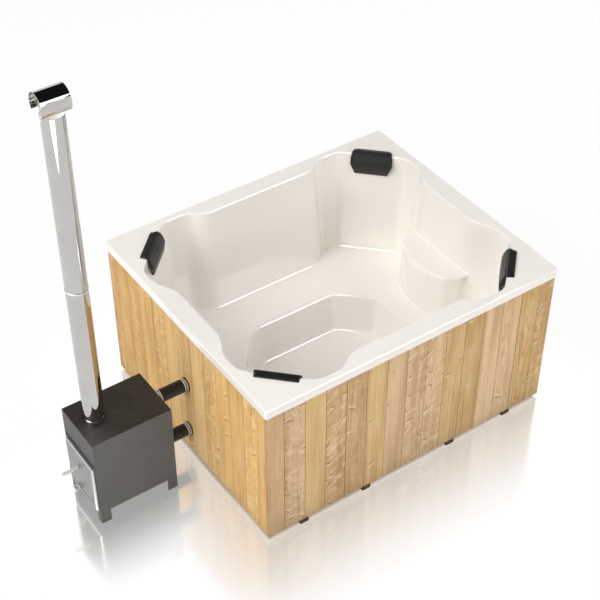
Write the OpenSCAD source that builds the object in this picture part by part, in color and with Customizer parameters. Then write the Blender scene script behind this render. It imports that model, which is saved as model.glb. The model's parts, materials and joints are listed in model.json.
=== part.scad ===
// Square two-level hot tub in a timber-clad frame, with an outside wood stove,
// its two water hoses and its flue. Millimetres, +Z up. The origin is the
// centre of the tub on the ground. +X runs from the stove side to the far side.

/* [Tub] */
// Length of the rim along X
rim_len = 2000; // [1960:10:2060]
// Width of the rim along Y
rim_wid = 1690; // [1670:10:1730]
// Height of the top of the rim above the ground
rim_top = 1046; // [1030:2:1060]
// Height of the turned-down lip of the rim
lip_h = 58; // [40:1:66]
// Thickness of the moulded shell
shell_t = 8; // [6:1:9]
// Height of the seat above the ground
seat_z = 335; // [325:5:345]
// Height of the footwell floor above the ground
floor_z = 95; // [95:1:100]
// Height of the entry step above the ground
step_z = 665; // [620:5:690]
// How far the basin walls lean in between rim and seat
wall_draft = 62; // [60:1:68]
// How far the footwell walls lean in
foot_draft = 70; // [50:1:80]

/* [Timber] */
// Width of one cladding board with its joint
board_pitch = 136; // [128:1:140]
// Open joint between two boards
board_gap = 1.2; // [0.6:0.2:2]
// Thickness of the boards
board_t = 20; // [18:1:20]
// Height of the bearers under the floor
bearer_h = 45; // [45:1:50]
// Width of a bearer
bearer_w = 56; // [45:1:60]

/* [Stove] */
// Depth of the stove along X
stove_len = 494; // [480:2:520]
// Width of the stove along Y
stove_wid = 350; // [346:2:360]
// Height of the stove with its legs
stove_h = 632; // [626:2:650]
// Height of the stove legs
leg_h = 87; // [80:1:90]
// Clear distance between the stove and the boards
stove_gap = 203; // [190:1:230]
// Outer radius of the flue pipes
flue_r = 60; // [55:1:62]
// Height at which the two flue pipes join
flue_joint_z = 1580; // [1400:5:1600]
// Height of the top of the flue pipe
flue_top_z = 2620; // [2400:10:2700]

/* [Hoses] */
// Outer radius of a hose
hose_r = 40; // [38:1:42]
// Height of the upper hose
hose_up_z = 565; // [555:5:570]
// Height of the lower hose
hose_lo_z = 207; // [200:1:212]

/* [Hidden] */
$fn = 64;

hx = rim_len / 2;
hy = rim_wid / 2;
lip_t = 6;
face_x = hx - 8.5;              // outer face of the side boards
face_y = hy - 8.5;              // outer face of the front and back boards
in_x = face_x - board_t;        // inner face of the side boards
in_y = face_y - board_t;        // inner face of the front and back boards
deck_z = bearer_h + 18;         // top of the floor deck
deck_under = rim_top - shell_t; // underside of the rim deck
depth = rim_top - seat_z;
over = 60;                      // how far a cutting shape runs past the face it cuts
function draft_at(z) = wall_draft * (rim_top - z) / depth;

// ---- outlines -------------------------------------------------------------
function unit(v) = v / norm(v);
function turn(a, b) = a.x * b.y - a.y * b.x;
// move every side of a closed counter-clockwise outline inwards by d
function inset(P, d) = [for (i = [0:len(P) - 1])
  let (n = len(P), a = unit(P[i] - P[(i + n - 1) % n]), b = unit(P[(i + 1) % n] - P[i]),
       na = [a.y, -a.x], nb = [b.y, -b.x])
  P[i] - d * (na + nb) / (1 + na * nb)];
// round corner i of outline P with radius r, in k steps
function bend(P, i, r, k) =
  let (n = len(P), a = unit(P[i] - P[(i + n - 1) % n]), b = unit(P[(i + 1) % n] - P[i]),
       s = turn(a, b) > 0 ? 1 : -1, th = acos(a * b), p0 = P[i] - a * r * tan(th / 2),
       c = p0 + s * r * [-a.y, a.x], a0 = atan2(p0.y - c.y, p0.x - c.x))
  [for (j = [0:k]) c + r * [cos(a0 + s * th * j / k), sin(a0 + s * th * j / k)]];
function side_of(P, i) = let (n = len(P))
  turn(P[i] - P[(i + n - 1) % n], P[(i + 1) % n] - P[i]) > 0 ? 1 : -1;
function rounded(P, R, d, k) = let (Q = inset(P, d))
  [for (i = [0:len(P) - 1]) each bend(Q, i, max(12, R[i] - side_of(P, i) * d), k)];

// basin opening: one quarter, from the X axis to the Y axis
quarter = [[hx - 121, 232], [hx - 52, 352], [hx - 52, hy - 353], [hx - 360, hy - 45],
  [0.47 * hx, hy - 45], [0.392 * hx, hy - 118]];
quarter_r = [200, 200, 110, 110, 125, 125];
basin = concat(quarter, [for (i = [5:-1:0]) [-quarter[i].x, quarter[i].y]],
  [for (i = [0:5]) -quarter[i]], [for (i = [5:-1:0]) [quarter[i].x, -quarter[i].y]]);
basin_r = concat(quarter_r, [for (i = [5:-1:0]) quarter_r[i]],
  quarter_r, [for (i = [5:-1:0]) quarter_r[i]]);
foot = [[520, -165], [520, 165], [300, 367], [-290, 367], [-500, 175], [-500, -175],
  [-290, -367], [300, -367]];
foot_r = [90, 90, 90, 120, 160, 160, 120, 90];
step = [[hx - 60, -262], [hx - 60, 262], [hx - 200, 262], [hx - 288, 200], [hx - 332, 90],
  [hx - 332, -90], [hx - 288, -200], [hx - 200, -262]];
step_r = [14, 14, 60, 90, 90, 90, 90, 60];

// solid between two outlines of the same number of points
module loft(A, za, B, zb) {
  n = len(A);
  polyhedron(points = concat([for (p = A) [p.x, p.y, za]], [for (p = B) [p.x, p.y, zb]]),
    faces = concat([[for (i = [0:n - 1]) i]], [[for (i = [n - 1:-1:0]) n + i]],
      [for (i = [0:n - 1]) each [[(i + 1) % n, i, n + i], [(i + 1) % n, n + i, n + (i + 1) % n]]]));
}
// the part of a shape between two heights
module between(z0, z1) intersection() {
  children();
  translate([-hx, -hy, z0]) cube([2 * hx, 2 * hy, z1 - z0]);
}
// basin, footwell and step, grown outwards or inwards by g; the walls run on past both ends and are cut level
module basin_space(g, up)
  between(seat_z - g, rim_top - g + up)
    loft(rounded(basin, basin_r, draft_at(seat_z - over) - g, 3), seat_z - over,
         rounded(basin, basin_r, draft_at(rim_top + over) - g, 3), rim_top + over);
module foot_space(g, up) {
  k = foot_draft / (seat_z - floor_z);
  between(floor_z - g, seat_z - g + up)
    loft(rounded(foot, foot_r, foot_draft + k * over - g, 3), floor_z - over,
         rounded(foot, foot_r, -k * over - g, 3), seat_z + over);
}
module step_block(g) {
  k = 10 / (step_z - seat_z);
  between(seat_z - over / 2, step_z - g)
    loft(rounded(step, step_r, g - k * (step_z - seat_z + over), 3), seat_z - over,
         rounded(step, step_r, g + k * over, 3), step_z + over);
}
module xtube(x0, x1, y, z, ro, ri) {
  translate([x0, y, z]) rotate([0, 90, 0]) difference() {
    cylinder(r = ro, h = x1 - x0);
    if (ri > 0) translate([0, 0, -1]) cylinder(r = ri, h = x1 - x0 + 2);
  }
}
module box(a, b) { translate(a) cube(b - a); }

hose_y = -4;
stub_r = hose_r - 5;
wall_x = -(hx - 121);

// ---- tub ------------------------------------------------------------------
module acrylic_shell() color("white") difference() {
  union() {
    box([-hx, -hy, deck_under], [hx, hy, rim_top]);
    difference() {
      box([-hx, -hy, rim_top - lip_h], [hx, hy, deck_under + 1]);
      box([-hx + lip_t, -hy + lip_t, rim_top - lip_h - 1], [hx - lip_t, hy - lip_t, deck_under + 2]);
    }
    basin_space(shell_t, 4);
    foot_space(shell_t, 4);
  }
  difference() {
    basin_space(0, 5);
    step_block(0);
  }
  foot_space(0, 5);
  step_block(shell_t);
  xtube(wall_x - 30, wall_x + 120, hose_y, hose_up_z, stub_r, 0);
  xtube(-540, -400, hose_y, hose_lo_z, stub_r, 0);
  translate([drain_x, drain_y, floor_z - 20]) cylinder(r = 25, h = 40);
}

module board_row(len_total, count, last, first_i = 0, last_i = 99) {
  // boards side by side along X, centred, the end boards cut to width
  for (i = [first_i:min(last_i, count - 1)]) {
    a = i == 0 ? -len_total / 2 : (i - count / 2) * board_pitch + board_gap / 2;
    b = i == count - 1 ? len_total / 2 : (i + 1 - count / 2) * board_pitch - board_gap / 2;
    translate([a, 0, 0]) cube([b - a, board_t, last]);
  }
}
board_h = rim_top - 16 - bearer_h;
module cladding_front() color("burlywood") translate([0, -face_y, bearer_h])
  board_row(2 * face_x, 2 * floor((face_x / board_pitch) + 0.5) + 1, board_h);
module cladding_back() color("burlywood") translate([0, in_y, bearer_h])
  board_row(2 * face_x, 2 * floor((face_x / board_pitch) + 0.5) + 1, board_h);
side_mid = floor(in_y / board_pitch + 0.5); // number of the middle board of a side
module side_boards(a, b) translate([-in_x, 0, bearer_h]) rotate([0, 0, 90])
  board_row(2 * in_y, 2 * side_mid + 1, board_h, a, b);
module cladding_stove_side() color("sandybrown") {
  side_boards(0, side_mid - 1);
  side_boards(side_mid + 1, 2 * side_mid);
}
module cladding_hose_board() color("sandybrown") difference() {
  side_boards(side_mid, side_mid);
  for (z = [hose_up_z, hose_lo_z]) xtube(-face_x - 5, -in_x + 5, hose_y, z, stub_r, 0);
}
module cladding_far_side() color("sandybrown")
  translate([face_x, 0, bearer_h]) rotate([0, 0, 90])
    board_row(2 * in_y, 2 * floor(in_y / board_pitch + 0.5) + 1, board_h);

post = 45;
rail = 35;
module corner_posts() color("wheat")
  for (sx = [-1, 1], sy = [-1, 1])
    translate([sx > 0 ? in_x - post : -in_x, sy > 0 ? in_y - post : -in_y, deck_z])
      cube([post, post, deck_under - deck_z]);
module top_battens() color("wheat") {
  for (s = [-1, 1]) {
    translate([-0.37 * hx, s > 0 ? in_y - post : -in_y, deck_under - 45]) cube([0.74 * hx, post, 45]);
    translate([s > 0 ? in_x - post : -in_x, -215, deck_under - 45]) cube([post, 430, 45]);
  }
}
module rails(z) {
  for (s = [-1, 1]) {
    translate([-in_x + post, s > 0 ? in_y - rail : -in_y, z]) cube([2 * (in_x - post), rail, 45]);
    translate([s > 0 ? in_x - rail : -in_x, -in_y + post, z]) cube([rail, 2 * (in_y - post), 45]);
  }
}
mid_z = 640;
module mid_rails() color("wheat") rails(mid_z);
module bottom_rails() color("wheat") rails(deck_z);

bearer_xs = [-745, -310, 310, 745];
module bearers() color("saddlebrown")
  for (x = bearer_xs) box([x - bearer_w / 2, -face_y + 6, 0], [x + bearer_w / 2, face_y - 6, bearer_h]);
module bearer_spacers() color("saddlebrown") {
  w = bearer_w / 2;
  box([-745 + w, -28, 0], [-310 - w, 28, bearer_h]);
  box([-310 + w, -28, 0], [drain_x - 25, 28, bearer_h]);
  box([drain_x + 25, -28, 0], [310 - w, 28, bearer_h]);
  box([310 + w, -28, 0], [745 - w, 28, bearer_h]);
}
module floor_deck() color("tan") difference() {
  box([-in_x, -in_y, bearer_h], [in_x, in_y, deck_z]);
  translate([drain_x, drain_y, bearer_h - 1]) cylinder(r = 46, h = 30);
}
module footwell_battens() color("wheat")
  for (y = [-262, -80, 80, 230]) translate([-400, y - 22.5, deck_z]) cube([810, 45, floor_z - shell_t - deck_z]);
prop_xy = [[-700, -560], [-700, 560], [700, -560], [700, 560], [0, -520], [0, 520],
  [-700, -220], [-700, 220], [595, 0]];
module seat_props() color("wheat")
  for (p = prop_xy) translate([p.x - 22.5, p.y - 22.5, deck_z]) cube([45, 45, seat_z - shell_t - deck_z]);

// ---- headrests ------------------------------------------------------------
pad_len = 264;
pad_off = 105;                 // centre of a headrest along its diagonal edge
edge_u = (hx - 52 + hy - 353) / sqrt(2); // diagonal edge of the opening, from the centre
module headrest(mx, my) {
  // profile across the pad: u outwards over the rim, z up
  prof = [[edge_u - 14.5, rim_top - 134], [edge_u - 29.5, rim_top - 135], [edge_u - 39.5, rim_top - 98],
    [edge_u - 42, rim_top - 60], [edge_u - 34, rim_top - 28], [edge_u - 17, rim_top + 6],
    [edge_u - 2, rim_top + 17], [edge_u + 8, rim_top + 19], [edge_u + 36, rim_top + 15.5],
    [edge_u + 44, rim_top + 11.5], [edge_u + 44.5, rim_top + 0.5], [edge_u - 3.5, rim_top + 0.5]];
  mirror([mx, 0, 0]) mirror([0, my, 0]) rotate([0, 0, 45]) translate([0, -pad_off, 0])
    translate([0, pad_len / 2, 0]) rotate([90, 0, 0]) linear_extrude(pad_len) polygon(prof);
}
module headrest_front_stove() color("dimgray") headrest(1, 1);
module headrest_front_far() color("dimgray") headrest(0, 1);
module headrest_back_stove() color("dimgray") headrest(1, 0);
module headrest_back_far() color("dimgray") headrest(0, 0);

// ---- drain ----------------------------------------------------------------
drain_x = -150;
drain_y = -180;
drain_z = 22.5;
module drain_flange() color("gainsboro") translate([drain_x, drain_y, 0]) difference() {
  union() {
    translate([0, 0, floor_z]) cylinder(r1 = 45, r2 = 42, h = 4);
    translate([0, 0, bearer_h + 4]) cylinder(r = 25, h = floor_z - bearer_h - 3);
  }
  translate([0, 0, 0]) cylinder(r = 20, h = 200);
  translate([0, 0, floor_z - 6]) cylinder(r = 22, h = 20);
}
module drain_plug() color("dimgray") translate([drain_x, drain_y, 0]) {
  translate([0, 0, floor_z - 5.6]) cylinder(r = 21.7, h = 12);
  translate([0, 0, floor_z + 4.4]) cylinder(r = 27, h = 5);
  difference() {
    translate([-3, -12, floor_z + 9]) cube([6, 24, 16]);
    translate([-4, 0, floor_z + 17]) rotate([0, 90, 0]) cylinder(r = 5, h = 8);
  }
}
module drain_nut() color("gainsboro") translate([drain_x, drain_y, floor_z - shell_t - 12])
  difference() {
    cylinder(r = 40, h = 12, $fn = 6);
    translate([0, 0, -1]) cylinder(r = 25, h = 14);
  }
module drain_pipe() color("silver") difference() {
  union() {
    translate([drain_x, drain_y, drain_z]) cylinder(r = 20, h = bearer_h + 19 - drain_z);
    translate([drain_x, drain_y, drain_z]) rotate([-90, 0, 0]) cylinder(r = 20, h = hy - 50 - drain_y);
    translate([drain_x, drain_y, drain_z]) sphere(r = 20);
    translate([drain_x, hy - 52, drain_z]) rotate([-90, 0, 0]) cylinder(r = 22.3, h = 52);
  }
  translate([drain_x, drain_y, drain_z]) cylinder(r = 17, h = 100);
  translate([drain_x, drain_y, drain_z]) rotate([-90, 0, 0]) cylinder(r = 17, h = hy - drain_y + 1);
  translate([drain_x, drain_y, drain_z]) sphere(r = 17);
  // socket for a 40 mm waste pipe
  translate([drain_x, hy - 40, drain_z]) rotate([-90, 0, 0]) cylinder(r = 20.15, h = 41);
}

// ---- water connections ----------------------------------------------------
up_in_x = wall_x + draft_at(hose_up_z);            // basin wall at the upper port
lo_in_x = -500 + foot_draft * (seat_z - hose_lo_z) / (seat_z - floor_z);
pipe_x0 = -face_x - 78;
module upper_wall_pipe() color("silver") xtube(pipe_x0, up_in_x + 9, hose_y, hose_up_z, stub_r, stub_r - 4);
module lower_wall_pipe() color("silver") xtube(pipe_x0, lo_in_x + 17, hose_y, hose_lo_z, stub_r, stub_r - 4);
module grille(x_wall, x_end, z) {
  // domed strainer over the mouth of a pipe, its back shaped to the wall
  difference() {
    intersection() {
      xtube(x_wall - 30, x_end + 9, hose_y, z, 54, 0);
      children();
    }
    xtube(x_wall - 60, x_end, hose_y, z, stub_r, 0);
    for (a = [0:45:315]) xtube(x_end - 20, x_end + 20, hose_y + 22 * cos(a), z + 22 * sin(a), 4.5, 0);
    for (a = [22.5:90:352.5]) xtube(x_end - 20, x_end + 20, hose_y + 10 * cos(a), z + 10 * sin(a), 4.5, 0);
  }
}
module upper_grille() color("whitesmoke") grille(up_in_x, up_in_x + 9, hose_up_z) basin_space(0, 5);
module lower_grille() color("whitesmoke") grille(lo_in_x, lo_in_x + 17, hose_lo_z) foot_space(0, 5);
module wall_nut(x0, x1, z) {
  difference() {
    translate([x0, hose_y, z]) rotate([0, 90, 0]) cylinder(r = 52, h = x1 - x0, $fn = 6);
    xtube(x0 - 1, x1 + 1, hose_y, z, stub_r, 0);
    children();
  }
}
module wall_nuts() color("silver") {
  wall_nut(up_in_x - 34, up_in_x + 2, hose_up_z) basin_space(shell_t, 4);
  wall_nut(lo_in_x - 48, lo_in_x + 8, hose_lo_z) foot_space(shell_t, 4);
}
module wall_flanges() color("black")
  for (z = [hose_up_z, hose_lo_z]) xtube(-face_x - 6, -face_x, hose_y, z, hose_r + 4, stub_r);

sx1 = -face_x - stove_gap;      // back of the stove
sx0 = sx1 - stove_len;          // front of the stove
hose_x0 = sx1 + 8;
hose_x1 = -face_x - 7;
module upper_hose() color("#1c1c1c") xtube(hose_x0, hose_x1, hose_y, hose_up_z, hose_r, stub_r);
module lower_hose() color("#1c1c1c") xtube(hose_x0, hose_x1, hose_y, hose_lo_z, hose_r, stub_r);
clamp_w = 18;                   // width of a clamp ring
clamp_xs = [hose_x0 + 4, hose_x1 - clamp_w - 2];
module hose_clamps() color("silver")
  for (x = clamp_xs, z = [hose_up_z, hose_lo_z]) {
    xtube(x, x + clamp_w, hose_y, z, hose_r + 1.6, hose_r);
    difference() {
      translate([x + clamp_w / 2 - 6, hose_y + hose_r, z - 11]) cube([12, 10, 22]);
      xtube(x - 1, x + clamp_w + 1, hose_y, z, hose_r + 1.6, 0);
      translate([x + clamp_w / 2, hose_y + hose_r + 5.8, z - 12]) cylinder(r = 3.4, h = 24);
    }
  }
module clamp_screws() color("lightgray")
  for (x = clamp_xs, z = [hose_up_z, hose_lo_z]) translate([x + clamp_w / 2, hose_y + hose_r + 5.8, z]) {
    translate([0, 0, -11]) cylinder(r = 3.4, h = 22);
    translate([0, 0, 11]) cylinder(r = 5, h = 5, $fn = 6);
  }

// ---- stove ----------------------------------------------------------------
stove_y = -14;                  // centre line of the stove
sy0 = stove_y - stove_wid / 2;
sy1 = stove_y + stove_wid / 2;
st = 4;
open_y = [-150, 95];
open_z = [123, 420];
flue_x = sx0 + 116;
flue_y = -6;
module door_opening(x0, x1) { box([x0, open_y[0], open_z[0]], [x1, open_y[1], open_z[1]]); }
module stove_casing() color("#3c3c3e") {
  difference() {
    box([sx0, sy0, leg_h], [sx1, sy1, stove_h]);
    box([sx0 + st, sy0 + st, leg_h + st], [sx1 - st, sy1 - st, stove_h - st]);
    door_opening(sx0 - 1, sx0 + st + 1);
    translate([flue_x, flue_y, stove_h - st - 1]) cylinder(r = flue_r + 4, h = st + 2);
    for (z = [hose_up_z, hose_lo_z]) xtube(sx1 - st - 1, sx1 + 1, hose_y, z, stub_r, 0);
  }
  for (a = [0, 1], b = [0, 1])
    translate([a ? sx1 : sx0, b ? sy1 : sy0, 0]) mirror([a, 0, 0]) mirror([0, b, 0]) {
      cube([62, st, leg_h + 1]);
      cube([st, 46, leg_h + 1]);
    }
}
fb_x0 = sx0 + st;
fb_x1 = sx1 - 40;
fb_y0 = sy0 + 24;
fb_y1 = sy1 - 24;
fb_z1 = stove_h - 72;
module firebox() color("#2b2725") difference() {
  box([fb_x0, fb_y0, 104], [fb_x1, fb_y1, fb_z1]);
  box([fb_x0 - 1, fb_y0 + 4, 108], [fb_x1 - 4, fb_y1 - 4, fb_z1 - 4]);
  translate([flue_x, flue_y, fb_z1 - 10]) cylinder(r = flue_r, h = 20);
}
grate_z = 180;
module grate_ledges() color("#2b2725") {
  box([fb_x0 + 34, fb_y0 + 4, grate_z - 10], [fb_x1 - 26, fb_y0 + 16, grate_z]);
  box([fb_x0 + 34, fb_y1 - 16, grate_z - 10], [fb_x1 - 26, fb_y1 - 4, grate_z]);
}
module fire_grate() color("#3a3633") difference() {
  box([fb_x0 + 34, fb_y0 + 7, grate_z], [fb_x1 - 26, fb_y1 - 7, grate_z + 10]);
  for (i = [0:10]) translate([fb_x0 + 52 + i * (fb_x1 - fb_x0 - 102) / 11, fb_y0 + 30, grate_z - 1])
    cube([14, fb_y1 - fb_y0 - 60, 12]);
}
module stove_ports() color("silver")
  for (z = [hose_up_z, hose_lo_z]) xtube(sx1 - st, sx1 + 80, hose_y, z, stub_r, stub_r - 4);

// ---- flue -----------------------------------------------------------------
module flue(z0, z1, ro, ri) {
  translate([flue_x, flue_y, z0]) difference() {
    cylinder(r = ro, h = z1 - z0);
    translate([0, 0, -1]) cylinder(r = ri, h = z1 - z0 + 2);
  }
}
module flue_collar() color("silver") {
  flue(fb_z1, stove_h + 30, flue_r + 4, flue_r);
  flue(fb_z1, fb_z1 + 40, flue_r + 1, flue_r - 4);
}
module lower_flue_pipe() color("silver") {
  difference() {
    union() {
      flue(fb_z1 + 40, flue_joint_z, flue_r, flue_r - 2);
      // bead that the upper pipe sits on
      translate([flue_x, flue_y, flue_joint_z - 6]) rotate_extrude() translate([flue_r - 1.2, 0]) circle(r = 4.4, $fn = 24);
      flue(flue_joint_z - 1, flue_joint_z + 60, flue_r - 2, flue_r - 4);
    }
    translate([flue_x, flue_y, flue_joint_z - 20]) cylinder(r = flue_r - 4, h = 21);
    flue(flue_joint_z, flue_joint_z + 20, flue_r + 9, flue_r - 2);
  }
}
module upper_flue_pipe() color("silver") flue(flue_joint_z, flue_top_z, flue_r, flue_r - 2);
hood_r = flue_r + 7;
hood_len = 150;
hood_z = flue_top_z + 62;
module hood_round(r) {
  translate([flue_x - hood_len, flue_y, hood_z]) rotate([0, 90, 0]) cylinder(r = r, h = 2 * hood_len);
}
module flue_hood() color("silver")
  translate([flue_x - hood_len / 2, flue_y, hood_z]) rotate([0, 90, 0]) rotate([0, 0, 142 - 90 + 0])
    rotate_extrude(angle = 256, $fn = 96) translate([hood_r - 1.6, 0]) square([1.6, hood_len]);
module hood_brackets() color("silver") intersection() {
  for (s = [-1, 1]) translate([flue_x + s * (flue_r - 3.2) - 0.8, flue_y - 9, flue_top_z - 40]) cube([1.6, 18, 200]);
  hood_round(hood_r - 1.6);
  translate([flue_x, flue_y, 0]) cylinder(r = flue_r - 2, h = 5000);
}
module hood_rivets() color("lightgray")
  for (s = [-1, 1]) translate([flue_x + s * flue_r, flue_y, flue_top_z - 20]) rotate([0, s * 90, 0]) {
    cylinder(r1 = 4, r2 = 2.4, h = 2);
  }

// ---- stove door -----------------------------------------------------------
fr_x = sx0 - 4;                 // front of the door frame
dr_x1 = sx0 - 6;                // back of the door
dr_x0 = sx0 - 20;               // front of the door
dy = [-182, 123];
dz = [112, 446];
pin_x = sx0 - 11;
pin_y = 129;
module door_frame() color("#1d1d1f") difference() {
  box([fr_x, -187, 103], [sx0, 147, 460]);
  door_opening(fr_x - 1, sx0 + 1);
}
hinge_zs = [158, 378];
module hinge_brackets() color("#1d1d1f") for (z = hinge_zs) difference() {
  union() {
    box([pin_x, pin_y - 4.8, z], [fr_x, pin_y + 4.8, z + 24]);
    translate([pin_x, pin_y, z]) cylinder(r = 5, h = 24);
  }
  translate([pin_x, pin_y, z - 1]) cylinder(r = 2.5, h = 26);
}
module hinge_pins() color("silver") for (z = hinge_zs) translate([pin_x, pin_y, z]) {
  cylinder(r = 2.5, h = 52);
  translate([0, 0, -2]) cylinder(r = 4, h = 2);
}
vent_n = 11;
vent_z = 131;
vent_p = 22;
vent_y0 = -29.5 - 5 * vent_p;
hy0 = -20;                      // handle axis
hz0 = 335;
module stove_door() color("#b9bcbc") difference() {
  union() {
    hull() {
      box([dr_x0 + 7, dy[0], dz[0]], [dr_x1, dy[1], dz[1]]);
      box([dr_x0, dy[0] + 7, dz[0] + 7], [dr_x1, dy[1] - 7, dz[1] - 7]);
    }
    xtube(dr_x0 - 4, dr_x0 + 1, hy0, hz0, 15, 0);
    for (z = hinge_zs) {
      box([pin_x - 3.6, dy[1] - 3, z + 24.6], [pin_x + 3.6, pin_y, z + 48]);
      translate([pin_x, pin_y, z + 24.6]) cylinder(r = 5, h = 23.4);
    }
  }
  xtube(dr_x0 - 10, dr_x1 + 5, hy0, hz0, 6.05, 0);
  for (z = hinge_zs) translate([pin_x, pin_y, z + 20]) cylinder(r = 2.55, h = 40);
  for (i = [0:vent_n - 1]) if (i != 7)
    translate([dr_x0 - 1, vent_y0 + i * vent_p - 4.5, vent_z]) cube([20, 9, 36]);
  translate([dr_x0 - 1, 2, vent_z]) cube([20, 25, 36]);
}
module door_seal() color("#8d8a80") difference() {
  box([dr_x1, -168, 112.5], [dr_x1 + 1.7, 113, 438]);
  box([dr_x1 - 1, -154, 119], [dr_x1 + 3, 99, 424]);
}
slide_x = dr_x1 + 0.2;
module air_slide() color("#a9adad") {
  difference() {
    box([slide_x, -147, vent_z - 2.7], [slide_x + 2.6, 83, vent_z + 38.7]);
    for (i = [0:vent_n - 1]) if (i != 7)
      translate([slide_x - 1, vent_y0 + i * vent_p - 4.5, vent_z + 2]) cube([5, 9, 32]);
  }
  // tab through the door: neck, cross plate with a finger slot, turned-down lip
  box([slide_x - 22, 4, 148], [slide_x, 14, 151]);
  difference() {
    box([slide_x - 50, -16, 148], [slide_x - 21, 34, 151]);
    box([slide_x - 42, -2, 147], [slide_x - 32, 20, 152]);
  }
  box([slide_x - 50, -16, 134], [slide_x - 47, 34, 149]);
}
module air_slide_guides() color("#7d8080") {
  for (m = [0, 1]) translate([0, 0, vent_z + 18]) mirror([0, 0, m]) {
    box([dr_x1, -149, 21.1], [dr_x1 + 5, 94, 24.3]);
    box([dr_x1 + 3.2, -149, 18], [dr_x1 + 5, 94, 21.2]);
  }
}
grip_x0 = sx0 - 126;
module handle_shaft() color("silver") {
  xtube(dr_x0 - 70, dr_x0 - 4.4, hy0, hz0, 9, 0);
  xtube(dr_x0 - 6, sx0 + 16, hy0, hz0, 6, 0);
}
module handle_grip() color("gray") difference() {
  xtube(grip_x0, dr_x0 - 70, hy0, hz0, 11, 0);
  for (i = [0:3]) translate([grip_x0 + 7 + i * 7, hy0, hz0]) rotate([0, 90, 0]) difference() {
    cylinder(r = 14, h = 3);
    translate([0, 0, -1]) cylinder(r = 9.4, h = 5);
  }
}
module latch_bar() color("#55504a") difference() {
  union() {
    box([sx0 + 5, hy0 - 7, hz0 - 138], [sx0 + 11, hy0 + 7, hz0]);
    xtube(dr_x1 + 0.4, sx0 + 11, hy0, hz0, 11, 0);
  }
  xtube(dr_x1 - 2, sx0 + 20, hy0, hz0, 6, 0);
}
module handle_nut() color("silver") difference() {
  translate([sx0 + 11, hy0, hz0]) rotate([0, 90, 0]) cylinder(r = 10, h = 5, $fn = 6);
  xtube(sx0 + 10, sx0 + 20, hy0, hz0, 6, 0);
}

acrylic_shell();
cladding_front();
cladding_back();
cladding_stove_side();
cladding_hose_board();
cladding_far_side();
corner_posts();
top_battens();
mid_rails();
bottom_rails();
bearers();
bearer_spacers();
floor_deck();
footwell_battens();
seat_props();
headrest_front_stove();
headrest_front_far();
headrest_back_stove();
headrest_back_far();
drain_flange();
drain_plug();
drain_nut();
drain_pipe();
upper_wall_pipe();
lower_wall_pipe();
upper_grille();
lower_grille();
wall_nuts();
wall_flanges();
upper_hose();
lower_hose();
hose_clamps();
clamp_screws();
stove_casing();
firebox();
grate_ledges();
fire_grate();
stove_ports();
flue_collar();
lower_flue_pipe();
upper_flue_pipe();
flue_hood();
hood_brackets();
hood_rivets();
door_frame();
hinge_brackets();
hinge_pins();
stove_door();
door_seal();
air_slide();
air_slide_guides();
handle_shaft();
handle_grip();
latch_bar();
handle_nut();
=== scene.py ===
import json
import math
import bpy
import bmesh
import numpy as np
from mathutils import Matrix, Vector, geometry

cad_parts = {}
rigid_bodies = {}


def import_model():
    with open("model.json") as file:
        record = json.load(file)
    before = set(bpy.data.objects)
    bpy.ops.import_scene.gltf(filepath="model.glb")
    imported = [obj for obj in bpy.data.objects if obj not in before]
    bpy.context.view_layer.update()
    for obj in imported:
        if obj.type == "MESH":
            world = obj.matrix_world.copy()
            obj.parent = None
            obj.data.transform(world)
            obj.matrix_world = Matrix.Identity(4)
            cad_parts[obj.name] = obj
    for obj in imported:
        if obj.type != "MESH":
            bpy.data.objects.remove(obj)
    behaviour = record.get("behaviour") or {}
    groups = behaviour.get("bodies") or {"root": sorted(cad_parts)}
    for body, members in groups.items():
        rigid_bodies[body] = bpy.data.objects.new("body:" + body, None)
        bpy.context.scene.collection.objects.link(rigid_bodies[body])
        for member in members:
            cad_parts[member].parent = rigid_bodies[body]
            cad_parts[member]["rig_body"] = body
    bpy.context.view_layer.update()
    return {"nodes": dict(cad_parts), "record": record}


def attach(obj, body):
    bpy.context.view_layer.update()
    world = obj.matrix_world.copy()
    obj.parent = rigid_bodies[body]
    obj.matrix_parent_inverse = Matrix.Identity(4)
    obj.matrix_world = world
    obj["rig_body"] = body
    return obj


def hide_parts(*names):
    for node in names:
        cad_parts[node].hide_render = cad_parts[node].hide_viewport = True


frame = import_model()
scene = bpy.context.scene
NODES = frame["nodes"]

# ---- sizes of the CAD model, in metres ------------------------------------
HX, HY = 1.0, 0.845
RIM, SEAT, FLOOR, STEP = 1.046, 0.335, 0.095, 0.665
LIP_H, LIP_T, SHELL = 0.058, 0.006, 0.008
HOSE_Y, HOSE_UP, HOSE_LO, PIPE_R = -0.004, 0.565, 0.207, 0.035
WALL_X = -0.879
DRAIN = (-0.150, -0.180)
SX0, SX1, SY0, SY1, STOVE_H, LEG_H = -1.6885, -1.1945, -0.189, 0.161, 0.632, 0.087
FLUE = (-1.5725, -0.006)
FLUE_R, FLUE_JOINT, FLUE_TOP, HOOD_R, HOOD_Z, HOOD_LEN = 0.060, 1.580, 2.620, 0.067, 2.682, 0.150
EDGE_U = (HX - 0.052 + HY - 0.353) / math.sqrt(2)


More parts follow.
